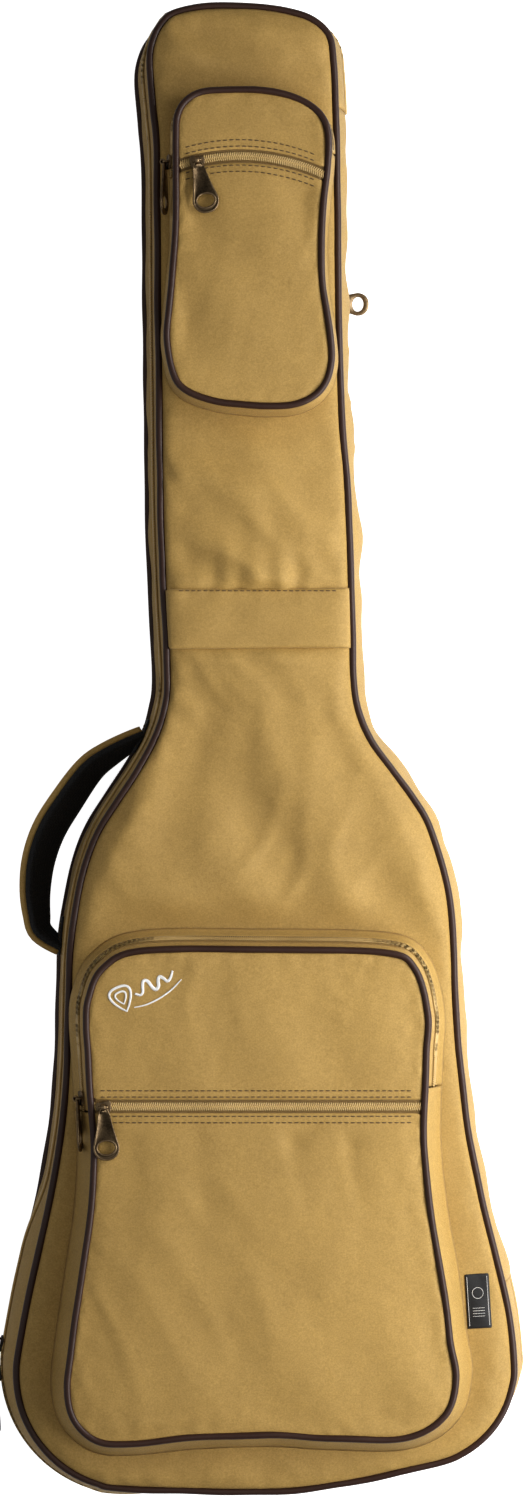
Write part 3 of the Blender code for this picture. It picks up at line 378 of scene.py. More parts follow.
def panel(name, outline, top, base_z, material, spacing=4 * MM, rims=(0.8, 2, 3.6, 5.6, 8.2)):
    """A padded piece that rises from base_z to top(points, their distances in from the outline)."""
    edge = evenly(outline, spacing, True)
    fine = evenly(outline, 1.0 * MM, True)
    n = normals(edge, True)
    points = [edge]
    for rim in rims:
        ring = edge - n * rim * MM
        points.append(ring[distance_to(fine, ring)[0] > 0.86 * rim * MM])
    low_corner, high_corner = edge.min(0), edge.max(0)
    xs = np.arange(low_corner[0], high_corner[0], spacing)
    ys = np.arange(low_corner[1], high_corner[1], spacing * 0.9)
    grid = np.stack(np.meshgrid(xs, ys), -1)
    grid[1::2, :, 0] += spacing / 2
    grid = grid.reshape(-1, 2)
    grid = grid[inside(edge, grid)]
    grid = grid[distance_to(fine, grid)[0] > rims[-1] * MM + spacing * 0.6]
    points = np.concatenate([*points, grid])
    count = len(edge)
    flat, _, faces, sources, _, _ = delaunay_2d_cdt(
        [Vector(p) for p in points], [], [list(range(count))], 1, 1e-7)
    flat = np.array([tuple(v) for v in flat])
    place_of = {source: i for i, listed in enumerate(sources) for source in listed}
    rim = [place_of[i] for i in range(count)]
    distance = distance_to(fine, flat)[0]
    distance[rim] = 0
    heights = top(flat, distance)
    verts = np.concatenate([raised(flat, heights), raised(flat[rim], base_z)])
    under = list(range(len(flat), len(flat) + count))
    faces = [list(f) for f in faces]
    faces += [[rim[i], under[i], under[(i + 1) % count], rim[(i + 1) % count]] for i in range(count)]
    faces.append(under[::-1])
    return finished(name, verts, faces, material)


def copies(name, part, places, material):
    """One mesh made of many copies of a small part. places are rows of origin, x, y and z axes."""
    verts, faces = part
    verts = np.asarray(verts, float)
    x, y, z = (verts[None, :, i:i + 1] for i in range(3))
    origins, x_axes, y_axes, z_axes = (places[:, None, i] for i in range(4))
    moved = origins + x * x_axes + y * y_axes + z * z_axes
    every = [[index + i * len(verts) for index in face] for i in range(len(places)) for face in faces]
    return finished(name, moved.reshape(-1, 3), every, material)


def capsule(length, radius, sides=6, flat=1.0):
    """A thread or a tooth that lies along x, as (vertices, faces)."""
    profile = [(-1, 0.35), (-0.8, 0.85), (-0.3, 1), (0.3, 1), (0.8, 0.85), (1, 0.35)]
    verts = [(x * length / 2, r * radius * math.cos(a), r * radius * flat * math.sin(a))
             for x, r in profile for a in round_turns(sides)]
    return verts, ring_faces(len(profile), sides)


def surface_of(*objects):
    """A search tree over objects' meshes, to lay things on."""
    verts, faces = [], []
    for obj in objects:
        start = len(verts)
        verts += [obj.matrix_world @ v.co for v in obj.data.vertices]
        faces += [[start + i for i in p.vertices] for p in obj.data.polygons]
    return BVHTree.FromPolygons(verts, faces)


def laid_on(surface, path, lift=0.0, down=True):
    """Points of a flat path dropped on a surface from above or raised to it from below, and its normals."""
    places, ups = [], []
    for x, y in path:
        start = Vector((x, y, 0.3 if down else -0.1))
        hit, normal, _, _ = surface.ray_cast(start, Vector((0, 0, -1 if down else 1)))
        if hit is None:
            hit, normal = (places[-1], ups[-1]) if places else (Vector((x, y, FRONT_Z)), Vector((0, 0, 1)))
            hit = Vector((x, y, hit[2]))
        places.append(np.array(hit))
        ups.append(np.array(normal))
    places, ups = np.array(places), np.array(ups)
    return places + ups * lift, ups


def stitches(name, surface, paths, material, length=3.0 * MM, gap=1.3 * MM, radius=0.42 * MM, down=True):
    """Rows of stitches laid on a surface along flat paths."""
    places = []
    for path in paths:
        steps = evenly(np.asarray(path, float), length + gap)
        spots, ups = laid_on(surface, (steps[:-1] + steps[1:]) / 2, radius * 0.35, down)
        along = raised(steps[1:] - steps[:-1], 0.0)
        along = unit_rows(along - ups * (along * ups).sum(1)[:, None])
        places.append(np.stack([spots, along, np.cross(ups, along), ups], 1))
    return copies(name, capsule(length, radius), np.concatenate(places), material)


def placed(obj, body, slot, *replaced, across=None, fill=None):
    """Joins a piece to its body, or bakes it where it stands when it lies between two bodies across a pair of
    points.
    """
    if across:
        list(body)
        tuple(across[0])
        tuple(across[1])
        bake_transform(obj)
    else:
        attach(obj, body)
    if replaced:
        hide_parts(*replaced)
    return obj


# ---- node helpers
def add(tree, kind, settings=(), **values):
    """A node whose inputs are set or linked by name."""
    made = tree.nodes.new(kind)
    for key, value in dict(settings).items():
        setattr(made, key, value)
    for key, value in values.items():
        plug(tree, made.inputs[key.replace("_", " ")], value)
    return made


def plug(tree, socket, value):
    if isinstance(value, bpy.types.NodeSocket):
        tree.links.new(value, socket)
    else:
        socket.default_value = value


def maths(tree, operation, *values):
    made = tree.nodes.new("ShaderNodeMath")
    made.operation = operation
    for socket, value in zip(made.inputs, values):
        plug(tree, socket, value)
    return made.outputs[0]


def times(tree, a, b):
    return maths(tree, "MULTIPLY", a, b)


def plus(tree, a, b):
    return maths(tree, "ADD", a, b)


def spread_out(tree, value, low_in, high_in, low_out=0.0, high_out=1.0):
    """The value moved from one range to another, held within it."""
    return add(tree, "ShaderNodeMapRange", {"clamp": True}, Value=value, From_Min=low_in, From_Max=high_in,
               To_Min=low_out, To_Max=high_out).outputs[0]


def mixed(tree, factor, a, b, inputs=(0, 2, 3), output=0, **settings):
    """One value between two. Its sockets are those for numbers unless told otherwise."""
    made = tree.nodes.new("ShaderNodeMix")
    for key, value in settings.items():
        setattr(made, key, value)
    for index, value in zip(inputs, (factor, a, b)):
        plug(tree, made.inputs[index], value)
    return made.outputs[output]


def blend_colours(tree, factor, a, b, kind="MIX"):
    return mixed(tree, factor, a, b, (0, 6, 7), 2, data_type="RGBA", blend_type=kind)


def group(name, inputs, outputs):
    """An empty node group with named numbers going in and coming out, and the sockets at its two ends."""
    tree = bpy.data.node_groups.new(name, "ShaderNodeTree")
    for label, value in inputs.items():
        tree.interface.new_socket(label, in_out="INPUT", socket_type="NodeSocketFloat").default_value = value
    for label in outputs:
        tree.interface.new_socket(label, in_out="OUTPUT", socket_type="NodeSocketFloat")
    return tree, tree.nodes.new("NodeGroupInput").outputs, tree.nodes.new("NodeGroupOutput").inputs


def use(tree, name, **values):
    made = tree.nodes.new("ShaderNodeGroup")
    made.node_tree = bpy.data.node_groups[name]
    for key, value in values.items():
        plug(tree, made.inputs[key.replace("_", " ")], value)
    return made.outputs


def noise(tree, where, scale, detail=3.0, rough=0.5):
    made = add(tree, "ShaderNodeTexNoise", Vector=where, Scale=scale, Detail=detail, Roughness=rough)
    return made.outputs[0]


# ---- effects that finishes share
def make_plain_weave():
    """Over-and-under threads. Flat faces take them from x and y, standing ones from the height."""
    tree, given, result = group("plain_weave", {"Pitch": 0.5 * MM}, ("Height", "Thread"))
    spot = add(tree, "ShaderNodeTexCoord")
    at = add(tree, "ShaderNodeSeparateXYZ", Vector=spot.outputs["Object"]).outputs
    facing = add(tree, "ShaderNodeSeparateXYZ", Vector=spot.outputs["Normal"]).outputs
    flat = maths(tree, "GREATER_THAN", maths(tree, "ABSOLUTE", facing[2]), 0.6)
    u = mixed(tree, flat, plus(tree, at[0], at[1]), at[0])
    v = mixed(tree, flat, at[2], at[1])
    turn = maths(tree, "DIVIDE", math.pi, given["Pitch"])
    warp = maths(tree, "SINE", times(tree, u, turn))
    weft = maths(tree, "SINE", times(tree, v, turn))
    over = maths(tree, "GREATER_THAN", times(tree, warp, weft), 0.0)
    height = mixed(tree, over, maths(tree, "ABSOLUTE", warp), maths(tree, "ABSOLUTE", weft))
    slub = noise(tree, spot.outputs["Object"], 850.0, 1.0)
    plug(tree, result["Height"], plus(tree, height, times(tree, slub, 0.5)))
    plug(tree, result["Thread"], times(tree, height, slub))


def make_wear():
    """Rubbed edges: 1 where the surface turns sharply, broken up by noise."""
    tree, given, result = group("edge_wear", {"Amount": 0.5, "Scale": 120.0}, ("Worn",))
    spot = add(tree, "ShaderNodeTexCoord").outputs["Object"]
    sharp = add(tree, "ShaderNodeNewGeometry").outputs["Pointiness"]
    broken = times(tree, noise(tree, spot, given["Scale"], 4.0), 0.12)
    worn = spread_out(tree, plus(tree, sharp, broken), 0.56, 0.66)
    plug(tree, result["Worn"], times(tree, worn, given["Amount"]))


def make_handling():
    """Broad light and dark patches from handling and dust, and a finer mottle."""
    tree, given, result = group("handling", {"Scale": 9.0, "Depth": 0.1}, ("Shade", "Dust"))
    spot = add(tree, "ShaderNodeTexCoord")
    broad = noise(tree, spot.outputs["Object"], given["Scale"], 4.0, 0.55)
    fine = noise(tree, spot.outputs["Object"], times(tree, given["Scale"], 14.0), 3.0)
    both = plus(tree, times(tree, broad, 0.7), times(tree, fine, 0.3))
    shade = times(tree, maths(tree, "SUBTRACT", both, 0.5), times(tree, given["Depth"], 4.0))
    plug(tree, result["Shade"], plus(tree, shade, 1.0))
    plug(tree, result["Dust"], spread_out(tree, fine, 0.55, 0.8))


def make_grain():
    """Pebbled grain of a coated cord or a cast metal."""
    tree, given, result = group("grain", {"Scale": 900.0}, ("Height",))
    spot = add(tree, "ShaderNodeTexCoord").outputs["Object"]
    cells = add(tree, "ShaderNodeTexVoronoi", {"feature": "SMOOTH_F1"}, Vector=spot, Scale=given["Scale"])
    mottle = noise(tree, spot, times(tree, given["Scale"], 0.3), 3.0)
    plug(tree, result["Height"], plus(tree, cells.outputs[0], times(tree, mottle, 0.6)))


def make_pile():
    """Short brushed fibres."""
    tree, given, result = group("pile", {"Scale": 1500.0}, ("Height", "Nap"))
    spot = add(tree, "ShaderNodeTexCoord").outputs["Object"]
    fibres = noise(tree, spot, given["Scale"], 4.0, 0.7)
    nap = noise(tree, spot, 24.0, 3.0)
    plug(tree, result["Height"], fibres)
    plug(tree, result["Nap"], plus(tree, times(tree, fibres, 0.5), times(tree, nap, 0.5)))


for make in (make_plain_weave, make_wear, make_handling, make_grain, make_pile):
    make()


# ---- finishes
def finish_named(name, **sockets):
    """A material and its tree, with constants set on the Principled shader's own sockets."""
    material = bpy.data.materials.new(name)
    material.use_nodes = True
    tree = material.node_tree
    shader = tree.nodes["Principled BSDF"]
    for key, value in sockets.items():
        shader.inputs[key.replace("_", " ")].default_value = value
    return material, tree, shader.inputs


def bumped(tree, height, depth, strength=1.0):
    return add(tree, "ShaderNodeBump", Height=height, Distance=depth, Strength=strength).outputs[0]


def woven(name, light, dark, pitch=0.5 * MM, sheen=0.05, rough=(0.52, 0.74), depth=0.06 * MM):
    """Woven cloth between two colours: thread relief, handling marks and rubbed edges."""
    material, tree, shader = finish_named(
        name, Sheen_Weight=sheen, Sheen_Roughness=0.45, Specular_IOR_Level=0.4)
    weave = use(tree, "plain_weave", Pitch=pitch)
    marks = use(tree, "handling", Scale=7.0, Depth=0.12)
    worn = use(tree, "edge_wear", Amount=0.3, Scale=300.0)
    threads = spread_out(tree, weave["Thread"], 0.1, 0.68)
    base = blend_colours(tree, threads, (*dark, 1), (*light, 1))
    shaded = blend_colours(tree, 1.0, base, marks["Shade"], "MULTIPLY")
    pale = tuple(min(c * 1.25 + 0.02, 1) for c in light)
    plug(tree, shader["Base Color"], blend_colours(tree, worn["Worn"], shaded, (*pale, 1)))
    dust = times(tree, marks["Dust"], 0.06)
    threads_rough = spread_out(tree, weave["Height"], 0, 1.4, rough[1], rough[0])
    plug(tree, shader["Roughness"], plus(tree, threads_rough, dust))
    plug(tree, shader["Normal"], bumped(tree, weave["Height"], depth))
    return material


def brushed(name, colour, scale=1500.0):
    """Plush, felt or foam."""
    material, tree, shader = finish_named(
        name, Sheen_Weight=0.35, Sheen_Roughness=0.5, Specular_IOR_Level=0.2)
    pile = use(tree, "pile", Scale=scale)
    marks = use(tree, "handling", Scale=14.0, Depth=0.12)
    tips = tuple(c * 2.2 + 0.01 for c in colour)
    base = blend_colours(tree, spread_out(tree, pile["Nap"], 0.35, 0.7), (*colour, 1), (*tips, 1))
    plug(tree, shader["Base Color"], blend_colours(tree, 1.0, base, marks["Shade"], "MULTIPLY"))
    plug(tree, shader["Roughness"], spread_out(tree, pile["Height"], 0.2, 0.8, 0.98, 0.82))
    plug(tree, shader["Normal"], bumped(tree, pile["Height"], 0.25 * MM))
    return material


def coated(name, colour, rub):
    """Grained vinyl over a cord, rubbed paler along its crown."""
    material, tree, shader = finish_named(
        name, Specular_IOR_Level=0.35, Coat_Weight=0.06, Coat_Roughness=0.35)
    pebbles = use(tree, "grain", Scale=900.0)
    marks = use(tree, "handling", Scale=22.0, Depth=0.16)
    worn = use(tree, "edge_wear", Amount=0.2, Scale=400.0)
    base = blend_colours(tree, 1.0, (*colour, 1), marks["Shade"], "MULTIPLY")
    plug(tree, shader["Base Color"], blend_colours(tree, worn["Worn"], base, (*rub, 1)))
    plug(tree, shader["Roughness"], spread_out(tree, marks["Shade"], 0.8, 1.2, 0.36, 0.52))
    plug(tree, shader["Normal"], bumped(tree, pebbles["Height"], 0.05 * MM, 0.6))
    return material


def aged_metal(name, bright, dark, rough=0.34):
    """Antiqued plating: dark in the hollows, bright where it is rubbed."""
    material, tree, shader = finish_named(name, Metallic=1.0)
    patina = use(tree, "handling", Scale=60.0, Depth=0.5)
    worn = use(tree, "edge_wear", Amount=0.9, Scale=500.0)
    pits = use(tree, "grain", Scale=1400.0)
    dull = blend_colours(tree, spread_out(tree, patina["Shade"], 0.7, 1.4), (*dark, 1), (*bright, 1))
    rubbed = tuple(min(c * 1.7, 1) for c in bright)
    plug(tree, shader["Base Color"], blend_colours(tree, worn["Worn"], dull, (*rubbed, 1)))
    plug(tree, shader["Roughness"], spread_out(tree, patina["Shade"], 0.7, 1.4, rough + 0.2, rough - 0.06))
    plug(tree, shader["Normal"], bumped(tree, pits["Height"], 0.03 * MM, 0.5))
    return material


def moulded(name, colour, pale, rough):
    """Nylon teeth and threads, slightly uneven in tone."""
    material, tree, shader = finish_named(name, Specular_IOR_Level=0.5, Sheen_Weight=0.1)
    marks = use(tree, "handling", Scale=40.0, Depth=0.25)
    grain = use(tree, "grain", Scale=3000.0)
    plug(tree, shader["Base Color"],
         blend_colours(tree, spread_out(tree, marks["Shade"], 0.75, 1.25), (*colour, 1), (*pale, 1)))
    plug(tree, shader["Roughness"], spread_out(tree, marks["Shade"], 0.7, 1.3, rough + 0.1, rough - 0.05))
    plug(tree, shader["Normal"], bumped(tree, grain["Height"], 0.04 * MM, 0.5))
    return material


KHAKI, KHAKI_DEEP = (0.500, 0.322, 0.099), (0.310, 0.195, 0.054)
canvas = woven("khaki_canvas", KHAKI, KHAKI_DEEP)
band_cloth = woven("khaki_band_canvas", (0.475, 0.306, 0.094), KHAKI_DEEP, sheen=0.1)
tape_weave = {"pitch": 0.7 * MM, "depth": 0.1 * MM}
# The flat zips' tape is the main zip's khaki tape at about half its brightness: painted shade of the narrow
# slot the tape lies in.
shaded_tape_cloth = woven("khaki_zip_tape_painted_shade", (0.20, 0.120, 0.034), (0.12, 0.072, 0.020), **tape_weave)
pale_tape = woven("khaki_main_tape", (0.42, 0.27, 0.085), (0.30, 0.185, 0.055), **tape_weave)
pale_teeth = moulded("khaki_main_coil", (0.42, 0.28, 0.10), (0.60, 0.42, 0.17), 0.38)
khaki_thread = moulded("khaki_thread", (0.085, 0.05, 0.015), (0.13, 0.079, 0.024), 0.6)
white_thread = moulded("white_thread", (0.82, 0.81, 0.78), (0.92, 0.91, 0.88), 0.45)
piping_vinyl = coated("brown_piping", (0.034, 0.0140, 0.0085), (0.09, 0.045, 0.028))
old_brass = aged_metal("old_brass", (0.19, 0.135, 0.078), (0.045, 0.032, 0.019))
black_brass = aged_metal("blackened_metal", (0.055, 0.047, 0.04), (0.012, 0.011, 0.010), 0.4)
mesh_pad = woven("black_pad_mesh", (0.016, 0.015, 0.015), (0.004, 0.004, 0.004),
                 pitch=2.2 * MM, sheen=0.1, rough=(0.7, 0.9), depth=0.2 * MM)
webbing = woven("black_webbing", (0.014, 0.013, 0.013), (0.005, 0.005, 0.005),
                pitch=1.4 * MM, sheen=0.15, rough=(0.5, 0.75), depth=0.25 * MM)
label_cloth = woven("label_damask", (0.013, 0.012, 0.012), (0.006, 0.006, 0.006),
                    pitch=0.35 * MM, sheen=0.1, rough=(0.4, 0.6), depth=0.03 * MM)
plush = brushed("black_plush", (0.012, 0.011, 0.011))
foam_cloth = brushed("dark_foam_cover", (0.022, 0.021, 0.022), 900.0)
lined = [canvas, plush]           # a wall's outer and inner face


# ---- padded panels of the bag
BODY_ANGLE = math.radians(35)     # wrinkles of the body run across this direction
SHOULDER = 11 * MM                # width of a panel's rounded edge beside its piping
CROWN = 6 * MM                    # how far the padding lifts the middle of the front


def rounded_rise(distance, width):
    """A quarter-round shoulder that starts at a seam and is 1 from width inwards."""
    t = np.clip(distance / width, 0, 1)
    return np.sqrt(1 - (1 - t) ** 2)


def clear_of(outlines, p, start, end):
    """0 within some outlines, rising to 1 away from them."""
    clear = np.ones(len(p))
    for outline in outlines:
        coarse = evenly(outline, 4 * MM, True)
        within = inside(coarse, p)
        clear *= np.where(within, 0, step(distance_to(coarse, p)[0], start, end))
    return clear


band_low, band_high = low("neck_band"), high("neck_band")
lower_foot = LOWER + normals(LOWER, True) * 13 * MM
head_foot = HEAD + normals(HEAD, True) * 9 * MM


def front_top(p, d):
    """The front panel: crowned between its piping and what is sewn on it, with soft wrinkles."""
    seam_z = FRONT_PIPING_Z + 0.4 * MM
    rise = (FRONT_Z - seam_z) * rounded_rise(d, SHOULDER)
    free = clear_of([lower_foot, head_foot], p, 0, 30 * MM)
    near_feet = clear_of([lower_foot, head_foot], p, 0, 6 * MM)
    band = 1 - step(np.abs(p[:, 1] - (band_low.y + band_high.y) / 2), 19 * MM, 27 * MM)
    free = free * (1 - 0.9 * band)
    crown = CROWN * step(d, -10 * MM, 85 * MM) * free
    body = step(p[:, 1], 0.12, -0.02)
    slant = (1.3 * waves(p, 3, 0.16, BODY_ANGLE, 0.5) + 0.75 * waves(p, 4, 0.075, BODY_ANGLE, 0.45)) * MM
    ridges = 2.3 * MM * creases(p, 11, 0.13, BODY_ANGLE + 0.15)
    ridges += 1.3 * MM * creases(p, 12, 0.07, -BODY_ANGLE, 0.5)
    neck = 1.9 * MM * creases(p, 17, 0.06, 0.9, 0.5) + 0.7 * MM * waves(p, 18, 0.05, 1.0, 0.5)
    inner = step(d, 1 * MM, 16 * MM)
    spreading = 0.75 * MM * fan(p, (SHIFT_X, band_low.y + 60 * MM), 23, 18)
    spreading *= step(p[:, 1], band_low.y, band_low.y - 60 * MM)
    relief = (slant + ridges * 0.8 + spreading) * 1.25 * body + neck * 1.25 * (1 - body)
    relief += 0.5 * MM * waves(p, 19, 0.2)
    relief += 0.07 * MM * waves(p, 24, 0.022, BODY_ANGLE, 0.8)
    pucker = 0.42 * MM * waves(p, 21, 0.017) * np.exp(-d / (12 * MM)) * step(d, 0, 3 * MM)
    past_band = np.abs(p[:, 1] - band_high.y - 4 * MM)
    gather = 0.6 * MM * along_waves(p[:, 0], 22, 0.02) * np.exp(-past_band / (15 * MM))
    return seam_z + rise + crown + relief * inner * free + (pucker + gather * inner) * near_feet


def back_top(p, d):
    """The back panel, seen from below: flat where the rear pocket lies on it, quilted softly elsewhere."""
    rise = (FRONT_Z - FRONT_PIPING_Z) * rounded_rise(d, SHOULDER)
    channel = 0.35 * MM * np.cos(p[:, 1] / 0.045 * 2 * math.pi)
    pucker = 0.3 * MM * waves(p, 31, 0.018) * np.exp(-d / (9 * MM))
    soft = channel * 0.4 + 0.4 * MM * waves(p, 32, 0.1)
    return BACK_PIPING_Z - rise + soft * step(d, 0, 20 * MM) + pucker


def lining_top(z, sign):
    """Plush quilted in diamonds. sign is -1 where it faces down and 1 where it faces up."""
    def top(p, d):
        u, v = (p[:, 0] + p[:, 1]) / 0.06, (p[:, 0] - p[:, 1]) / 0.06
        quilt = np.minimum(np.abs(np.sin(u * math.pi)), np.abs(np.sin(v * math.pi))) ** 0.5
        soft = 0.25 * MM * waves(p, 40, 0.05)
        return z + sign * (0.9 * MM * quilt * step(d, 0, 14 * MM) + soft * step(d, 0, 5 * MM))
    return top


tuck = PIPING_R * 0.72            # a panel's edge is sewn under its piping
front_outline = BAG - normals(BAG, True) * tuck
front_panel = placed(panel("front_panel_canvas", front_outline, front_top, low("front_panel").z, canvas),
                     "cover", "main_fabric", "front_panel", fill=0.55)
back_outline = BAG + normals(BAG, True) * (BACK_SPREAD - tuck) + np.array([BACK_LEAN, 0])
placed(panel("back_panel_canvas", back_outline, back_top, high("back_panel").z, canvas, 6 * MM),
       "shell", "main_fabric", "back_panel", fill=0.55)
for name, body, wall_z, sign, base in (
        ("front_lining", "cover", high("gusset_front").z, -1, high("front_lining").z),
        ("back_lining", "shell", low("gusset_back").z, 1, low("back_lining").z)):
    outline = BAG + normals(BAG, True) * (side_out(wall_z) - WALL_THICK) + np.array([side_lean(wall_z), 0])
    face = low(name).z + 0.5 * MM if sign < 0 else high(name).z - 0.5 * MM
    placed(panel(name + "_plush", outline, lining_top(face, sign), base, plush, 6 * MM, (1.5, 4)),
           body, "lining", name, fill=0.3)


# ---- piping
def piping(name, loop, z, radius, seed, out=0.0, lean=0.0):
    """A covered cord along a seam line. It wanders a little, and meets itself where the line starts."""
    s = lengths(loop)
    fade = np.minimum(step(s, 0, 0.05), step(-s, -s[-1], 0.05 - s[-1]))
    wander = 0.12 * MM * along_waves(s, seed, 0.07)
    flat = loop + normals(loop, True) * (out + wander * fade)[:, None] + np.array([lean, 0])
    heights = z + 0.2 * MM * along_waves(s, seed + 1, 0.06) * fade
    return tube(name, raised(flat, heights), radius, piping_vinyl)


cord_r = PIPING_R * 0.98
placed(piping("front_piping_cord", BAG[::2], FRONT_PIPING_Z, cord_r, 51), "cover", "piping", "front_piping")
placed(piping("back_piping_cord", BAG[::2], BACK_PIPING_Z, cord_r, 53, BACK_SPREAD, BACK_LEAN),
       "shell", "piping", "back_piping")


# ---- side walls
WAIST = 7.0 * MM                  # how far the zipped wall is drawn in at its zip, clear of the sliders


def hollow(z):
    """Where in the wall's height it is drawn in: nothing at the pipings, most just in front of the zip."""
    t = (z - BACK_PIPING_Z) / (FRONT_PIPING_Z - BACK_PIPING_Z)
    return 4 * t * (1 - t) * (1 + 0.35 * (2 * t - 1))


def slider_spots():
    """Places that the main zip's two sliders pass."""
    run, turn = JOINTS["main_zip_run_side"], JOINTS["main_zip_run_bottom"]
    start = np.array(middle("main_slider_side"))
    spots = [start + np.array(run["axis"]) * travel for travel in np.linspace(*run["range_m"], 4)]
    pivot = np.array(turn["pos_m"])
    spoke = Vector(np.array(middle("main_slider_bottom")) - pivot)
    for angle in np.linspace(*turn["range_deg"], 7):
        spots.append(pivot + np.array(Matrix.Rotation(math.radians(angle), 3, Vector(turn["axis"])) @ spoke))
    return [spot[:2] for spot in spots]


def waist_along(path):
    """How far the zipped wall is drawn in at each place: on the left and below, away from the sliders."""
    n = normals(path)
    facing = np.clip(np.maximum.reduce([-n[:, 0], -0.8 * n[:, 1], 0.4 * n[:, 1]]), 0, 1)
    gaps = np.min([np.linalg.norm(path - spot, axis=1) for spot in slider_spots()], axis=0)
    return WAIST * facing * step(gaps, 20 * MM, 75 * MM)


def wall_rings(path, low_z, high_z, out, thick, levels, lean=None, swell=0.0, relief=0.0, seed=60,
               foot=0.0, brow=0.0, waist=0.0, skip=2):
    """Rings of a padded wall between two heights: outer side up, inner side down.

    foot and brow bring the lower and upper edges inwards, where they are sewn under a piping.
    """
    s = lengths(path)
    t = np.linspace(0, 1, levels)
    z = low_z + (high_z - low_z) * t
    inner_z = z[::-skip]
    every = np.ones((len(path), 1))
    drawn = np.broadcast_to(waist, len(path))[:, None]
    outer = np.array([out(h) for h in z])[None, :] * every
    outer = outer + swell * np.sin(math.pi * t)[None, :]
    outer -= foot * np.exp(-(t * (high_z - low_z)) / (3 * MM))[None, :]
    outer -= brow * np.exp(-((1 - t) * (high_z - low_z)) / (3 * MM))[None, :]
    spots = np.stack(np.meshgrid(s, z, indexing="ij"), -1).reshape(-1, 2)
    bumps = waves(spots, seed, 0.06, 0.0, 0.5) * 0.6 + creases(spots, seed + 1, 0.08, 0.15, 0.4)
    outer += relief * (bumps.reshape(outer.shape) - 0.3) * np.sin(math.pi * t)[None, :] ** 0.6
    outer -= drawn * hollow(z)[None, :]
    inner = np.array([out(h) for h in inner_z])[None, :] * every - thick - drawn * hollow(inner_z)[None, :]
    outs = np.concatenate([outer, inner], 1)
    return rings_along(path, outs, np.broadcast_to(np.concatenate([z, inner_z]), outs.shape), lean)


def wall(name, path, low_z, high_z, out, thick, levels=9, **shape):
    """A padded wall with canvas outside and plush inside."""
    rings = wall_rings(path, low_z, high_z, out, thick, levels, **shape)
    marks = [0] * (levels - 1) + [1] * (rings.shape[1] - levels + 1)
    return skin(name, rings, lined, marks=marks)


FOOT, BROW = 1.6 * MM, 1.2 * MM   # how far the bag's walls turn in under the back and the front piping
zip_half = MAIN_TAPE - 1.5 * MM
zipped = evenly(stretch(BAG, (ZIP_TOP_Y, 1), (ZIP_BOTTOM_Y, 1)), 4 * MM)
hinged = evenly(stretch(BAG, (ZIP_BOTTOM_Y, 1), (ZIP_TOP_Y, 1)), 4 * MM)
waist = waist_along(zipped)
wall_low, wall_high = BACK_PIPING_Z + 1 * MM, FRONT_PIPING_Z - 1 * MM
for half, body, low_z, high_z, shape in (
        ("back", "shell", wall_low, MAIN_ZIP_Z - zip_half, {"seed": 61, "foot": FOOT}),
        ("front", "cover", MAIN_ZIP_Z + zip_half, wall_high, {"seed": 63, "brow": BROW})):
    placed(wall(f"side_wall_{half}_canvas", zipped, low_z, high_z, side_out, WALL_THICK, lean=side_lean,
                relief=0.6 * MM, waist=waist, **shape),
           body, "main_fabric", "gusset_" + half, fill=0.4)
placed(wall("hinge_wall_canvas", hinged, wall_low, wall_high, side_out, WALL_THICK, 23, lean=side_lean,
            relief=1.1 * MM, seed=65, skip=1, foot=FOOT, brow=BROW),
       ("shell", "cover"), "main_fabric", "hinge_gusset_back", "hinge_gusset_front",
       across=((0, 0, MAIN_ZIP_Z - 12 * MM), (0, 0, MAIN_ZIP_Z + 12 * MM)), fill=0.4)


# ---- zips
TOOTH = capsule(3.0 * MM, 0.52 * MM, 6, 1.25)
MAIN_PITCH, POCKET_PITCH = 1.87 * MM, 1.5 * MM
TAPE_THICK = 0.9 * MM


def tape_rings(path, z_edge, z_coil, out, lean, waist):
    """Rings of one half of a standing zip's tape, from its sewn edge to its teeth."""
    z = z_edge + (z_coil - z_edge) * np.linspace(0, 1, 6)
    outer = np.array([out(h) for h in z])[None, :] * np.ones((len(path), 1)) - 0.3 * MM
    outer -= np.broadcast_to(waist, len(path))[:, None] * hollow(z)[None, :]
    outs = np.concatenate([outer, outer[:, ::-1] - TAPE_THICK], 1)
    return rings_along(path, outs, np.broadcast_to(np.concatenate([z, z[::-1]]), outs.shape), lean)


def coil(name, centre, up, side, pitch, scale):
    """The teeth of one half of a zip along its centre line. side is 1 or -1, and picks every other place."""
    spots = evenly(np.column_stack([centre, up]), pitch / 2)
    spots = spots[(0 if side > 0 else 1)::2]
    centre, up = spots[:, :3], unit_rows(spots[:, 3:])
    along = tangents(centre)
    across = np.cross(up, along) * side
    leaning = across + along * 0.3
    places = [centre + across * 0.8 * MM * scale, leaning * scale, along * scale, up * scale]
    return copies(name, TOOTH, np.stack(places, 1), pale_teeth)


def upright_zip(prefix, path, zip_z, tape, out, bodies, nodes, pitch, scale, across=(None, None),
                lean=None, waist=0.0):
    """A zip that stands in a side wall: two tapes, each with its coil."""
    n = normals(path)
    drawn = np.broadcast_to(waist, len(path))
    at = out(zip_z) + 0.3 * MM - drawn * hollow(zip_z)
    shift = lean(zip_z) if lean else 0.0
    centre = raised(path + n * at[:, None] + np.array([shift, 0]), zip_z)
    slope = np.full(len(path), (out(zip_z - MM) - out(zip_z + MM)) / (2 * MM))
    slope += drawn * (hollow(zip_z + MM) - hollow(zip_z - MM)) / (2 * MM)
    up = np.column_stack([n, slope])
    for half, side, body, node, bend in zip(("back", "front"), (-1, 1), bodies, nodes, across):
        rings = tape_rings(path, zip_z + side * tape, zip_z + side * 0.7 * MM, out, lean, waist)
        strip = skin(f"{prefix}_zip_tape_{half}", rings, pale_tape)
        teeth = coil(f"{prefix}_zip_coil_{half}", centre, up, side, pitch, scale)
        placed(strip, body, "zip_tape", node, across=bend)
        placed(teeth, body, "zip_tape", across=bend)


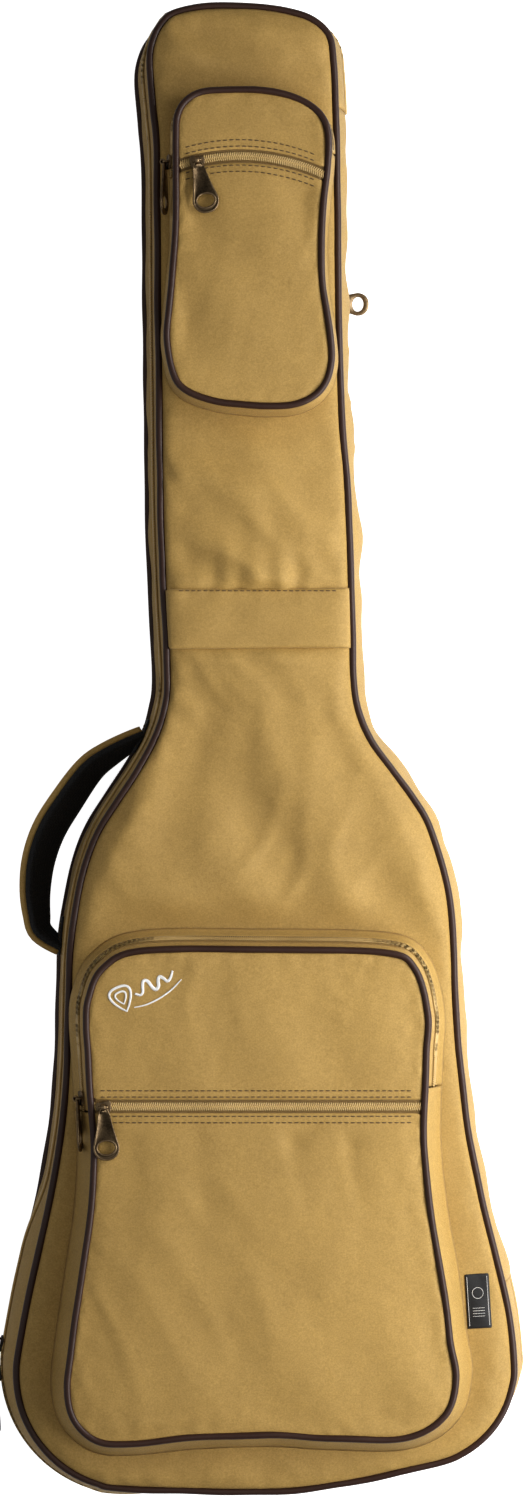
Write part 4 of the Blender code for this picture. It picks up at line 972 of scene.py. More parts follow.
upright_zip("main", zipped, MAIN_ZIP_Z, MAIN_TAPE, side_out, ("shell", "cover"),
            ("main_zip_back", "main_zip_front"), MAIN_PITCH, 1.6, lean=side_lean, waist=waist)


def flat_zip(prefix, line, z, reaches, body, nodes, names=("lower", "upper"), down=True):
    """A zip that lies flat in a face. The line runs from left to right, with its lower half first."""
    n = normals(line)
    sign = 1 if down else -1
    up = np.broadcast_to(np.array([0, 0, float(sign)]), (len(line), 3))
    lifted = raised(line, z) + up * 0.35 * MM
    for which, side, reach, node in zip(names, (1, -1), reaches, nodes):
        near, far = 0.5 * MM * side, reach * side
        outs = np.array([near, (near + far) / 2, far, far, (near + far) / 2, near])
        zs = z + sign * np.array([0.2, 0.2, 0.1, -0.7, -0.7, -0.7]) * MM
        rings = rings_along(line, np.broadcast_to(outs, (len(line), 6)), np.broadcast_to(zs, (len(line), 6)))
        # The tape carries painted shade: it is darker than the standing zips' tape of the same cloth.
        placed(skin(f"{prefix}_zip_tape_{which}", rings, shaded_tape_cloth), body, "zip_tape", node)
        teeth = coil(f"{prefix}_zip_coil_{which}", lifted, up, -side * sign, POCKET_PITCH, 1.25)
        placed(teeth, body, "zip_tape")


# ---- pockets
def head_zip_height(x):
    """The head pocket's zip is an arc: its height at a place across."""
    return HEAD_ZIP_CENTRE[1] + math.sqrt(max(HEAD_ZIP_R ** 2 - (x - HEAD_ZIP_CENTRE[0]) ** 2, 0))


def level_zip_height(x):
    return LOWER_ZIP_Y


def face_outline(loop, zip_height, upper):
    """The part of a pocket's face above or below its zip, sewn in under the piping."""
    sewn = loop - normals(loop, True) * POCKET_PIPING_R * 0.72
    offset = FACE_OPENING if upper else -FACE_OPENING
    over = np.array([y - zip_height(x) - offset > 0 for x, y in sewn])
    kept = over if upper else ~over
    start = int(np.nonzero(kept & ~np.roll(kept, 1))[0][0])
    part = sewn[(start + np.arange(kept.sum())) % len(sewn)]
    a, b = part[-1], part[0]
    xs = np.linspace(a[0], b[0], 60)[1:-1]
    closing = np.array([(x, zip_height(x) + offset) for x in xs])
    return np.concatenate([part, closing])


def face_top(loop, zip_height, crown, seed, pleats):
    """A pocket's face: rounded at its piping, turned under at the zip, with pleats below the zip."""
    def top(p, d):
        seam_gap = distance_to(loop, p)[0] - POCKET_PIPING_R * 0.6
        zip_gap = np.abs(p[:, 1] - np.array([zip_height(x) for x in p[:, 0]])) - FACE_OPENING
        rise = 1.5 * MM * rounded_rise(np.maximum(np.minimum(seam_gap, zip_gap * 2.5), 0), 5 * MM)
        body = crown * step(seam_gap, 0, 45 * MM) * step(zip_gap, -20 * MM, 40 * MM)
        away = step(d, 1.5 * MM, 12 * MM)
        fall = np.exp(-zip_gap / (55 * MM)) * step(zip_gap, 9 * MM, 22 * MM)
        folds = pleats * waves(p, seed, 0.05, 0.0, 0.2) * fall
        soft = 0.7 * MM * waves(p, seed + 1, 0.08, 0.5, 0.6)
        soft += 1.2 * MM * creases(p, seed + 2, 0.09, 0.35, 0.5)
        soft += 0.06 * MM * waves(p, seed + 4, 0.02, 0.3, 0.8)
        pucker = 0.36 * MM * waves(p, seed + 3, 0.016) * np.exp(-np.maximum(seam_gap, 0) / (8 * MM))
        height = body + (folds + soft) * away
        limit = (2.2 + 4 * step(zip_gap, 34 * MM, 70 * MM)) * MM
        height = np.where(height > 0, limit * np.tanh(height / limit), height)
        return POCKET_PIPING_Z - 0.4 * MM + rise + height + pucker * step(d, 0, 3 * MM)
    return top


def fold_band(fold_y):
    """Two places, just below and just above a pocket's fold line."""
    return (0, fold_y - FOLD_HALF, 0), (0, fold_y + FOLD_HALF, 0)


def build_pocket(prefix, loop, fold_y, spread, flare, zip_height, crown, pleats, seed):
    """One pocket: what stays on the cover, and what lies past the fold line, on the flap.

    It gives back the face above the zip.
    """
    out = pocket_out(spread)
    flap = ("cover", prefix + "_flap")
    fold = fold_band(fold_y)
    placed(piping(prefix + "_piping_cord", loop[::2], POCKET_PIPING_Z, POCKET_PIPING_R, seed),
           flap, "piping", prefix + "_piping_lower", prefix + "_piping_upper", across=fold)
    parked = (fold_y - SLIDER_WINDOW, -1)
    fold_right = (fold_y - 1 * MM, 1)
    under = evenly(stretch(loop, parked, fold_right), 3 * MM)
    around = evenly(stretch(loop, fold_right, parked), 3 * MM)
    base_z, top_z = POCKET_BASE_Z - 0.4 * MM, POCKET_PIPING_Z - 0.8 * MM
    tape = POCKET_TAPE - 1 * MM
    brow = 0.4 * MM
    walls = (
        ("wall", under, base_z, top_z, "cover", None, "_gusset_lower",
         {"swell": flare / 2, "relief": 0.5 * MM, "brow": brow, "foot": -flare}),
        ("wall_back", around, base_z, POCKET_ZIP_Z - tape, "cover", None, "_gusset_back",
         {"levels": 5, "relief": 0.2 * MM, "foot": -flare}),
        ("wall_front", around, POCKET_ZIP_Z + tape, top_z, flap, fold, "_gusset_front",
         {"levels": 5, "relief": 0.2 * MM, "brow": brow}))
    for i, (word, path, low_z, high_z, body, bend, node, shape) in enumerate(walls):
        piece = wall(f"{prefix}_{word}_canvas", path, low_z, high_z, out, POCKET_WALL,
                     seed=seed + 2 + i, **shape)
        placed(piece, body, "main_fabric", prefix + node, across=bend, fill=0.15)
    upright_zip(prefix, around, POCKET_ZIP_Z, POCKET_TAPE, out, ("cover", flap),
                (prefix + "_zip_back", prefix + "_zip_front"), POCKET_PITCH, 1.2, (None, fold))
    left = float(loop[cross_at(loop, zip_height(loop[:, 0].min() + 5 * MM), -1)][0])
    right = float(loop[cross_at(loop, zip_height(loop[:, 0].max() - 5 * MM), 1)][0])
    line = np.array([(x, zip_height(x)) for x in np.arange(left + 2 * MM, right - 2 * MM, 2 * MM)])
    flat_zip(prefix + "_face", line, POCKET_PIPING_Z, (FACE_OPENING + 3 * MM,) * 2, "cover",
             (prefix + "_face_zip_lower", prefix + "_face_zip_upper"))
    stitched = np.arange(left + 6 * MM, right - 6 * MM, 3 * MM)
    halves = (("_face_lower", -1, "cover", None, 1.0, 1.0), ("_face_upper", 1, flap, fold, 0.35, 0.15))
    faces = []
    for upper, (word, _, _, _, fullness, pleated) in enumerate(halves):
        shape_of = face_top(loop, zip_height, crown * fullness, seed + 6 + upper, pleats * pleated)
        faces.append(panel(prefix + word + "_canvas", face_outline(loop, zip_height, upper), shape_of,
                           low(prefix + word).z, canvas, 3 * MM, (0.7, 1.6, 2.8, 4.4)))
    for face, (word, side, body, bend, _, _) in zip(faces, halves):
        rows = [[(x, zip_height(x) + side * (FACE_OPENING + row)) for x in stitched] for row in FACE_ROWS]
        threads = stitches(prefix + word.replace("face", "face_stitching"), surface_of(face), rows,
                           khaki_thread)
        placed(face, body, "main_fabric", prefix + word, across=bend, fill=0.3)
        placed(threads, body, "main_fabric", across=bend)
    return faces[1]


lower_face_upper = build_pocket("lower_pocket", LOWER, LOWER_FOLD_Y, 11 * MM, 1.6 * MM, level_zip_height,
                                3.4 * MM, 1.7 * MM, 200)
build_pocket("head_pocket", HEAD, HEAD_FOLD_Y, 4.2 * MM, 0.2 * MM, head_zip_height, 2.2 * MM, 0.9 * MM, 240)


# ---- metal sliders and pulls
def plate_rings(outline, low_z, high_z, soft):
    """Rings of a plate with rounded rims, from its underside to its top."""
    n = normals(outline, True)
    rings = []
    for inset, z in ((1.0, low_z), (0.3, low_z + soft * 0.3), (0, low_z + soft), (0, high_z - soft),
                     (0.3, high_z - soft * 0.3), (1.0, high_z)):
        rings.append(raised(outline - n * inset * soft, z))
    return np.array(rings)


def gathered(parts):
    """Several (vertices, faces) as one."""
    verts, faces = [], []
    for v, f in parts:
        faces += [[i + len(verts) for i in face] for face in f]
        verts += [tuple(p) for p in v]
    return verts, faces


def as_part(rings, closed=False):
    stations, sides, _ = rings.shape
    return rings.reshape(-1, 3), ring_faces(stations, sides, closed)


def rod(points, radius, sides=10):
    """A bent rod along points, as (vertices, faces)."""
    points = evenly(curve_through(points, False, 6), 0.4 * MM)
    along = tangents(points)
    side = np.array([0, 1.0, 0]) if np.abs(along[:, 1]).max() < 0.9 else np.array([1.0, 0, 0])
    over = np.cross(along, side)
    over = unit_rows(over)
    side = np.cross(over, along)
    turns = round_turns(sides)[None, :, None]
    around = over[:, None] * np.cos(turns) * radius + side[:, None] * np.sin(turns) * radius
    return as_part(points[:, None] + around)


SLIDER_HALF = 5 * MM
SLIDER_SIDE = 4.2 * MM
PLATE_LOW, PLATE_HIGH = 1.6 * MM, 2.6 * MM
BAR_HEIGHT = 6.0 * MM             # the bar's middle above the zip
LEG_OUT = 2.7 * MM
BAR_R = 0.8 * MM


def slider_part(across):
    """A slider that runs along x with its top towards z: two shaped plates, a web, flanges and a bent bar."""
    nose = [(-1.0, 0.62), (-0.5, 0.66), (0.0, 0.80), (0.45, 0.98), (0.8, 0.95), (1.0, 0.60)]
    half = [(x * SLIDER_HALF, -w * SLIDER_SIDE) for x, w in nose]
    outline = evenly(curve_through(half + [(x, -y) for x, y in reversed(half)]), 0.7 * MM, True)
    parts = [as_part(plate_rings(outline, PLATE_LOW, PLATE_HIGH, 0.35 * MM)),
             as_part(plate_rings(outline, -PLATE_HIGH, -PLATE_LOW, 0.35 * MM))]
    web = np.array([(-4.6, 0), (-1, -0.32), (4.6, -0.45), (4.9, 0), (4.6, 0.45), (-1, 0.32)]) * MM
    web = evenly(web, 0.6 * MM, True)
    parts.append(as_part(plate_rings(web, -PLATE_LOW - 0.2 * MM, PLATE_LOW + 0.2 * MM, 0.1 * MM)))
    for side in (-1, 1):
        edge = outline[(np.sign(outline[:, 1]) == side) & (np.abs(outline[:, 0]) < 4 * MM)]
        edge = edge[np.argsort(edge[:, 0])] * np.array([1, 0.94])
        for z in (PLATE_LOW - 0.15 * MM, -PLATE_LOW + 0.15 * MM):
            parts.append(rod(raised(edge, z), 0.38 * MM, 8))
    top = PLATE_HIGH - 0.4 * MM
    arch = [(-LEG_OUT * 1.05, top), (-LEG_OUT * 1.1, top + 1.6 * MM), (-LEG_OUT, BAR_HEIGHT - 0.5 * MM),
            (-LEG_OUT * 0.72, BAR_HEIGHT), (0, BAR_HEIGHT), (LEG_OUT * 0.72, BAR_HEIGHT),
            (LEG_OUT, BAR_HEIGHT - 0.5 * MM), (LEG_OUT * 1.1, top + 1.6 * MM), (LEG_OUT * 1.05, top)]
    parts.append(rod([(0, u, z) if across else (u, 0, z) for u, z in arch], BAR_R))
    return gathered(parts)


PULL_LENGTH = 33 * MM
PULL_WIDE = 8.2 * MM
PULL_NARROW = 3.4 * MM
KNUCKLE_R = 1.85 * MM
PULL_HOLE = np.array([5.3, 4.0]) * MM     # half its width and half its height
PULL_SIDES = 72
PULL_SCALE = 1.12
PULL_MID = -1.25 * MM             # the middle of the tab's thickness, below the bar


def pull_part():
    """A pull whose knuckle turns about x and whose tab runs towards -y: a flared loop with a raised rim."""
    tip = PULL_LENGTH - PULL_WIDE
    side = [(PULL_NARROW, -0.8 * MM), (PULL_NARROW * 1.05, -4 * MM), (PULL_WIDE * 0.62, -tip * 0.5),
            (PULL_WIDE * 0.9, -tip * 0.86), (PULL_WIDE, -tip - 0.6 * MM), (PULL_WIDE * 0.86, -tip - 4.6 * MM),
            (PULL_WIDE * 0.5, -tip - 7.4 * MM), (0, -PULL_LENGTH)]
    outer = evenly(curve_through([(-x, y) for x, y in reversed(side[:-1])] + side), 0.25 * MM, True)
    hub = np.array([0, -tip - 0.4 * MM])
    turns = round_turns(PULL_SIDES)
    bearings = np.arctan2(outer[:, 1] - hub[1], outer[:, 0] - hub[0])
    order = np.argsort(bearings)
    wrapped = (turns + math.pi) % (2 * math.pi) - math.pi
    spokes = np.linalg.norm(outer - hub, axis=1)
    reach = np.interp(wrapped, bearings[order], spokes[order], period=2 * math.pi)
    rays = np.stack([np.cos(turns), np.sin(turns)], 1)
    rim = hub + rays * reach[:, None]
    hole = hub + rays * PULL_HOLE
    top, floor = PULL_MID + 0.8 * MM, PULL_MID - 0.65 * MM
    groove = top - 0.35 * MM
    profile = [(rim, 0.35, floor), (rim, 0.1, floor + 0.25 * MM), (rim, 0, PULL_MID),
               (rim, 0.02, top - 0.3 * MM), (rim, 0.3, top), (rim, 1.0, top), (rim, 1.3, groove),
               (hole, -1.25, groove), (hole, -0.95, top), (hole, -0.35, top), (hole, 0, top - 0.3 * MM),
               (hole, 0, floor + 0.3 * MM), (hole, -0.35, floor)]
    limit = np.linalg.norm(rim - hole, axis=1)[:, None] * 0.42
    rings = [raised(edge - rays * np.clip(inset * MM, -limit, limit), z) for edge, inset, z in profile]
    loop = as_part(np.array(rings), True)
    half = 1.3 * MM
    worn = half - 0.2 * MM
    section = [(worn, KNUCKLE_R), (half, KNUCKLE_R - 0.2 * MM), (half, 1.15 * MM), (-half, 1.15 * MM),
               (-half, KNUCKLE_R - 0.2 * MM), (-worn, KNUCKLE_R)]
    barrel = np.array([[(x, r * math.cos(a), r * math.sin(a)) for x, r in section] for a in round_turns(20)])
    bridge = evenly(np.array([(-1.25, -1.3), (1.25, -1.3), (2.6, -4.2), (-2.6, -4.2)]) * MM, 0.5 * MM, True)
    bridge = as_part(plate_rings(bridge, floor + 0.1 * MM, top - 0.25 * MM, 0.15 * MM))
    return gathered([loop, as_part(barrel, True), bridge])


def unit(v):
    return v / np.linalg.norm(v)


def node_middle(node):
    return np.array([v.co for v in frame["nodes"][node].data.vertices], float).mean(0)


SLIDER_PARTS = {False: slider_part(False), True: slider_part(True)}
PULL_PART = pull_part()


def hardware(slider, crossed, scale, metal, travel=None, twist=0.0):
    """A zip's slider and its pull, set on the axis of the joint that the pull swings about.

    crossed is for a bar that stands across the zip. travel is the way the slider runs, unless the bar
    lies along it.
    """
    pull = slider.replace("slider", "pull")
    joint = JOINTS[pull + "_swing"]
    bar, axis = np.array(joint["pos_m"]), unit(np.array(joint["axis"]))
    centre = node_middle(slider)
    if crossed:
        along = unit(np.array(travel) - axis * np.dot(travel, axis))
        up = unit(np.cross(along, axis))
        up *= 1 if np.dot(bar - centre, up) > 0 else -1
    else:
        along = axis if travel is None else unit(np.array(travel))
        up = unit((bar - centre) - along * np.dot(bar - centre, along))
    foot = bar - up * BAR_HEIGHT * scale
    side = np.cross(up, along)
    place = np.array([[foot, along * scale, side * scale, up * scale]])
    placed(copies(slider + "_metal", SLIDER_PARTS[crossed], place, metal), slider, "zip_metal", slider)
    hang = node_middle(pull) - bar
    hang = unit(hang - up * np.dot(hang, up) - axis * np.dot(hang, axis))
    cross = np.cross(-hang, up)
    wide = cross * math.cos(twist) + up * math.sin(twist)
    thick = up * math.cos(twist) - cross * math.sin(twist)
    size = scale * PULL_SCALE
    place = np.array([[bar, wide * size, -hang * size, thick * size]])
    placed(copies(pull + "_metal", PULL_PART, place, metal), pull, "zip_metal", pull)


SIDE_TWIST = math.radians(28)     # the side pulls hang a little askew on their bars
MAIN_METAL_SCALE, REAR_METAL_SCALE = 1.12, 0.9
corner_spoke = node_middle("main_slider_bottom") - np.array(JOINTS["main_zip_run_bottom"]["pos_m"])
corner_travel = (-corner_spoke[1], corner_spoke[0], 0)
hardware("lower_pocket_face_slider", False, 1.0, old_brass, (1, 0, 0))
hardware("head_pocket_face_slider", False, 1.0, old_brass)
for prefix in ("lower_pocket_side", "head_pocket_side"):
    hardware(prefix + "_slider", True, 1.0, old_brass, JOINTS[prefix + "_zip_run"]["axis"], SIDE_TWIST)
hardware("main_slider_side", False, MAIN_METAL_SCALE, black_brass)
hardware("main_slider_bottom", True, MAIN_METAL_SCALE, black_brass, corner_travel)
hardware("rear_slider", False, REAR_METAL_SCALE, old_brass)


# ---- carrying handle
def strap_rings(path, width, near, far, swell):
    """Rings of the tilted handle strap. near and far are its faces' distances from the handle's line."""
    n = normals(path)
    outward = raised(n, 0.0)
    up = np.array([0, 0, 1.0])
    across = up * math.cos(HANDLE_TILT) + outward * math.sin(HANDLE_TILT)
    out = outward * math.cos(HANDLE_TILT) - up * math.sin(HANDLE_TILT)
    t = np.linspace(0, 1, len(path))
    half = width / 2 * np.sin(math.pi * (t * 0.94 + 0.03)) ** 0.55
    centre = raised(path, HANDLE_Z)
    fat = swell * np.sin(math.pi * t)
    shape = [(-1, 0.25), (-0.96, 0.05), (-0.6, 0), (0, 0), (0.6, 0), (0.96, 0.05), (1, 0.25),
             (1, 0.75), (0.96, 0.95), (0.6, 1), (0, 1), (-0.6, 1), (-0.96, 0.95), (-1, 0.75)]
    rings = []
    for a, b in shape:
        depth = near + (far - near) * b + fat * (1 if b > 0.5 else -1) * (1 - a * a)
        rings.append(centre + across * (half * a)[:, None] + out * depth[:, None])
    return np.stack(rings, 1)


HANDLE_Z = JOINTS["handle_swing"]["pos_m"][2]
HANDLE_TILT = math.radians(35)
STRAP_WIDE, STRAP_THICK = 31 * MM, 4.4 * MM
PAD_WIDE, PAD_THICK = 28.5 * MM, 5 * MM
handle_points = in_mm((-85, 12)) + HANDLE_POINTS + in_mm((-144, -142))
handle_line = evenly(curve_through(handle_points, False) + SHIFT, 3 * MM)
skin_rings = strap_rings(handle_line, STRAP_WIDE, 0, STRAP_THICK, 0.3 * MM)
pad_rings = strap_rings(handle_line, PAD_WIDE, -0.3 * MM, -0.3 * MM - PAD_THICK, 0.6 * MM)
placed(skin("handle_skin_canvas", skin_rings, canvas), "handle", "main_fabric", "handle_strap", fill=0.5)
placed(skin("handle_pad_mesh", pad_rings, mesh_pad), "handle", "pad", "handle_pad", fill=0.6)


ANCHOR_HALF = 14 * MM


def anchor(node):
    """A webbing patch sewn to the wall, with two rows of stitches."""
    y = middle(node).y
    path = evenly(stretch(BAG, (y + ANCHOR_HALF, -1), (y - ANCHOR_HALF, -1)), 2 * MM)
    drawn = waist_along(path)

    def over(z):
        return side_out(z) + 2.4 * MM
    rings = wall_rings(path, low(node).z, high(node).z, over, 1.7 * MM, 7, side_lean,
                       foot=0.6 * MM, brow=0.6 * MM, waist=drawn)
    placed(skin(node + "_webbing", rings, webbing), "shell", "pad", node)
    centre_z = (low(node).z + high(node).z) / 2
    places = []
    for z in (centre_z - 4 * MM, centre_z + 4 * MM):
        out = over(z) + 0.05 * MM - drawn[:, None] * hollow(z)
        row = raised(path + normals(path) * out + np.array([side_lean(z), 0]), z)[2:-2]
        steps = evenly(row, 2.8 * MM)
        along = unit_rows(steps[1:] - steps[:-1])
        ups = np.cross(np.array([0, 0, 1.0]), along)
        places.append(np.stack([(steps[1:] + steps[:-1]) / 2, along, np.cross(ups, along), ups], 1))
    threads = copies(node + "_stitching", capsule(2.1 * MM, 0.3 * MM), np.concatenate(places), khaki_thread)
    placed(threads, "shell", "pad")


anchor("handle_anchor_upper")
anchor("handle_anchor_lower")


# ---- neck band and side label
right_end = stretch(BAG, (band_low.y, 1), (band_high.y, 1))
left_end = stretch(BAG, (band_high.y, -1), (band_low.y, -1))
band_outline = np.concatenate([end - normals(end) * PIPING_R * 0.5 for end in (right_end, left_end)])
band_left, band_right = band_outline[:, 0].min(), band_outline[:, 0].max()


def band_top(p, d):
    """A padded strap with a loose lower edge and gathers along its sewn upper edge."""
    t = (p[:, 1] - band_low.y) / (band_high.y - band_low.y)
    ends_gap = np.minimum(np.abs(p[:, 0] - band_left), np.abs(p[:, 0] - band_right))
    across = step(ends_gap, 0, 16 * MM)
    lift = (2.4 * MM * rounded_rise(d, 2.6 * MM) + 1.4 * MM * np.sin(math.pi * np.clip(t, 0, 1)) * across
            + 1.5 * MM * (1 - t) ** 3 * across)
    base = FRONT_Z - 3.6 * MM + 3.6 * MM * rounded_rise(ends_gap, 11 * MM)
    pucker = 0.3 * MM * along_waves(p[:, 0], 302, 0.018) * np.exp(-(1 - t) * 6)
    pucker += 0.25 * MM * waves(p, 303, 0.04)
    return base + lift + pucker * step(d, 0, 3 * MM) + 0.4 * MM


band = panel("neck_band_canvas", band_outline, band_top, FRONT_Z - 4 * MM, band_cloth, 3 * MM, (0.7, 1.6, 3))
band_seam = [(x, band_high.y - 2.4 * MM) for x in np.arange(band_left + 9 * MM, band_right - 8 * MM, 3 * MM)]
placed(stitches("neck_band_stitching", surface_of(band), [band_seam], khaki_thread), "cover", "trim_fabric")
placed(band, "cover", "trim_fabric", "neck_band", fill=0.3)

front_surface = surface_of(front_panel)
label_points = np.array([v.co for v in frame["nodes"]["side_label"].data.vertices], float)
label_corners = np.unique(np.round(label_points[:, :2], 5), axis=0)
label_middle = label_corners.mean(0)
label_corners = label_corners[np.argsort(np.arctan2(*(label_corners - label_middle).T[::-1]))]


def label_top(p, d):
    spots, _ = laid_on(front_surface, p)
    return spots[:, 2] + 0.35 * MM + 0.45 * MM * rounded_rise(d, 0.8 * MM)


label = panel("side_label_woven", evenly(label_corners, 1.0 * MM, True), label_top,
              low("side_label").z - 2 * MM, label_cloth, 1.5 * MM, (0.5,))


def label_spot(u, v):
    """A place on the label, from -1 to 1 across and along it."""
    a, b, c, d = label_corners
    left, right = a + (d - a) * (v + 1) / 2, b + (c - b) * (v + 1) / 2
    return tuple(left + (right - left) * (u + 1) / 2)


label_lines = [[label_spot(-0.82, v) for v in (-0.9, 0.9)], [label_spot(0.82, v) for v in (-0.9, 0.9)]]
label_lines += [[label_spot(-0.5, v), label_spot(0.5, v)] for v in (-0.55, -0.45, -0.35, -0.25)]
label_lines.append([label_spot(0.45 * math.cos(a), 0.3 + 0.2 * math.sin(a))
                    for a in np.linspace(0, 2 * math.pi, 25)])
label_threads = stitches("side_label_motif", surface_of(label), label_lines, white_thread,
                         0.9 * MM, 0.1 * MM, 0.17 * MM)
placed(label_threads, "cover", "label")
placed(label, "cover", "label", "side_label", fill=0.05)


# ---- embroidered motif: a plectrum and a flourish
def satin(name, surface, strokes, width, material):
    """Raised satin stitch: threads laid side by side across strokes."""
    places = []
    for stroke, share in strokes:
        line = evenly(curve_through(stroke, False, 10), 0.42 * MM)
        spots, ups = laid_on(surface, line, 0.15 * MM)
        along = tangents(spots)
        across = unit_rows(np.cross(ups, along) + along * 0.25)
        t = np.linspace(0, 1, len(line))
        size = (share * (0.45 + 0.55 * np.sin(math.pi * np.clip(t, 0.04, 0.96)) ** 0.5))[:, None]
        places.append(np.stack([spots, across * size, unit_rows(np.cross(ups, across)), ups], 1))
    return copies(name, capsule(width, 0.26 * MM, 6, 1.5), np.concatenate(places), material)


MOTIF_CENTRE = np.array([-83, -166]) * MM + SHIFT
MOTIF_TURN = math.radians(22)


def motif(points, scale, moved):
    """Points of the motif, in millimetres, scaled, moved, and turned to lie on the pocket."""
    cos, sin = math.cos(MOTIF_TURN), math.sin(MOTIF_TURN)
    turn = np.array([[cos, -sin], [sin, cos]])
    return (np.array(points) * scale + np.array(moved)) * MM @ turn.T + MOTIF_CENTRE


right_side = [(3.4, -5.6), (6.6, -0.4), (7.6, 4.4), (5.2, 7.4)]
left_side = [(-x, y) for x, y in reversed(right_side)]
plectrum = [(0, -9.5), *right_side, (0, 8.2), *left_side, (0, -9.5)]
flourish = [(-2, -1.5), (0.6, -3.6), (3, -2.6), (4.6, 1.6), (6.4, 4.6), (9, 3.4), (10.4, -1.4), (12.2, -4.2),
            (14.8, -2.6), (16, 1.4), (18, 3.2), (20.2, 0.6), (21.6, -1.8), (24.4, -0.6), (27.6, 3.4)]
underline = [(-8, -7.5), (0, -8.8), (10, -8.2), (20, -5.8), (29, -1.8)]
strokes = [(motif(plectrum, 1.0, (-15, 0)), 0.9), (motif(plectrum, 0.5, (-15, 0.6)), 0.7),
           (motif(flourish, 1.0, (-3, 1)), 1.2), (motif(underline, 1.0, (-1, -1.5)), 0.6)]
placed(satin("pocket_embroidery", surface_of(lower_face_upper), strokes, 2.1 * MM, white_thread),
       ("cover", "lower_pocket_flap"), "label", across=fold_band(LOWER_FOLD_Y))


# ---- neck rest inside, and its straps
def cradle():
    """A carved foam block with a covered, rounded saddle for the guitar's neck."""
    a, b = low("neck_cradle"), high("neck_cradle")
    half, floor = (b.x - a.x) / 2, 10 * MM
    gap = half - 9 * MM
    top = b.z - a.z
    right = [(0, 0), (half * 0.6, 0), (half - 0.4 * MM, 0.2 * MM), (half, 2 * MM),
             (half + 0.4 * MM, top * 0.5), (half, top - 2.5 * MM), (half - 1.4 * MM, top - 0.4 * MM),
             (half - 4.5 * MM, top + 0.2 * MM), (gap + 1.6 * MM, top - 0.4 * MM), (gap, top - 2.6 * MM),
             (gap * 0.93, top * 0.62), (gap * 0.8, floor + 3 * MM), (gap * 0.5, floor + 0.3 * MM),
             (gap * 0.2, floor)]
    section = evenly(np.array(right + [(-x, z) for x, z in reversed(right[1:])]), 1.5 * MM, True)
    near_end = a.y + np.array([0, 0.3, 1.2, 2.8]) * MM
    far_end = b.y - np.array([2.8, 1.2, 0.3, 0]) * MM
    ys = np.concatenate([near_end, np.linspace(a.y + 4.5 * MM, b.y - 4.5 * MM, 18), far_end])
    stops = [a.y, a.y + 0.3 * MM, a.y + 1.2 * MM, a.y + 4.5 * MM,
             b.y - 4.5 * MM, b.y - 1.2 * MM, b.y - 0.3 * MM, b.y]
    inset = np.interp(ys, stops, [3, 1.6, 0.6, 0, 0, 0.6, 1.6, 3]) * MM
    n = normals(section, True)
    rings = []
    for i, y in enumerate(ys):
        sunk = section - n * inset[i]
        sunk[:, 1] = np.maximum(sunk[:, 1], 0.05 * MM)
        soft = 0.3 * MM * waves(raised(section[:, 0] + section[:, 1], y), 401, 0.02)
        sunk = sunk + n * soft[:, None]
        rings.append(np.column_stack([raised((a.x + b.x) / 2 + sunk[:, 0], y), a.z + sunk[:, 1]]))
    return skin("neck_rest_cover", np.array(rings), foam_cloth)


placed(cradle(), "shell", "foam", "neck_cradle", fill=0.9)
for side in ("left", "right"):
    node = "neck_strap_" + side
    a, b = low(node), high(node)
    edge, cut = 0.3 * MM, 3 * MM
    corners = curve_through([
        (a.x + edge, a.y + cut), (a.x + cut, a.y + edge), (b.x - cut, a.y + edge), (b.x - edge, a.y + cut),
        (b.x - edge, b.y - cut), (b.x - cut, b.y - edge), (a.x + cut, b.y - edge), (a.x + edge, b.y - cut),
    ], True, 6)

    def strap_top(p, d, a=a, b=b):
        return b.z - 0.6 * MM + 0.5 * MM * rounded_rise(d, 1.5 * MM) + 0.12 * MM * waves(p, 411, 0.012)
    strap = panel(node + "_webbing", corners, strap_top, a.z, webbing, 2.5 * MM, (0.5, 1.2))
    frame_line = evenly(corners, 3 * MM, True)
    inner = frame_line - normals(frame_line, True) * 2.6 * MM
    rows = stitches(node + "_stitching", surface_of(strap), [np.concatenate([inner, inner[:1]])],
                    khaki_thread, 2.0 * MM, 0.8 * MM, 0.22 * MM)
    placed(rows, node, "lining")
    placed(strap, node, "lining", node, fill=0.2)


# ---- rear pocket
REAR_INSET = 14 * MM              # from the back's edge to the rear pocket's
REAR_MARGIN = 6 * MM              # the pocket reaches this far past both ends of its zip
rear_zip_x = middle("rear_slider").x
rear_low_y, rear_high_y = low("rear_zip_outer").y, high("rear_zip_outer").y
rear_edge_x = rear_zip_x - 5 * MM
rear_start_y, rear_end_y = rear_low_y - REAR_MARGIN, rear_high_y + REAR_MARGIN
rear_loop = BAG + normals(BAG, True) * (BACK_SPREAD - REAR_INSET) + np.array([BACK_LEAN, 0])
kept = stretch(rear_loop, (rear_end_y, -1), (rear_start_y, 1))
straight_edge = [(rear_edge_x, rear_start_y), (rear_edge_x, rear_end_y)]
rear_outline = np.concatenate([kept, straight_edge])


def rear_top(p, d):
    """The rear pocket's outer face, seen from below."""
    sag = 0.7 * MM * step(-waves(p, 501, 0.11, 0.6, 0.6), -0.4, 1.2) * step(d, 0, 25 * MM)
    edge = 2.2 * MM * (1 - rounded_rise(d, 7 * MM))
    pucker = 0.25 * MM * np.abs(waves(p, 503, 0.02)) * np.exp(-d / (10 * MM))
    return 0.1 * MM + edge + sag + pucker


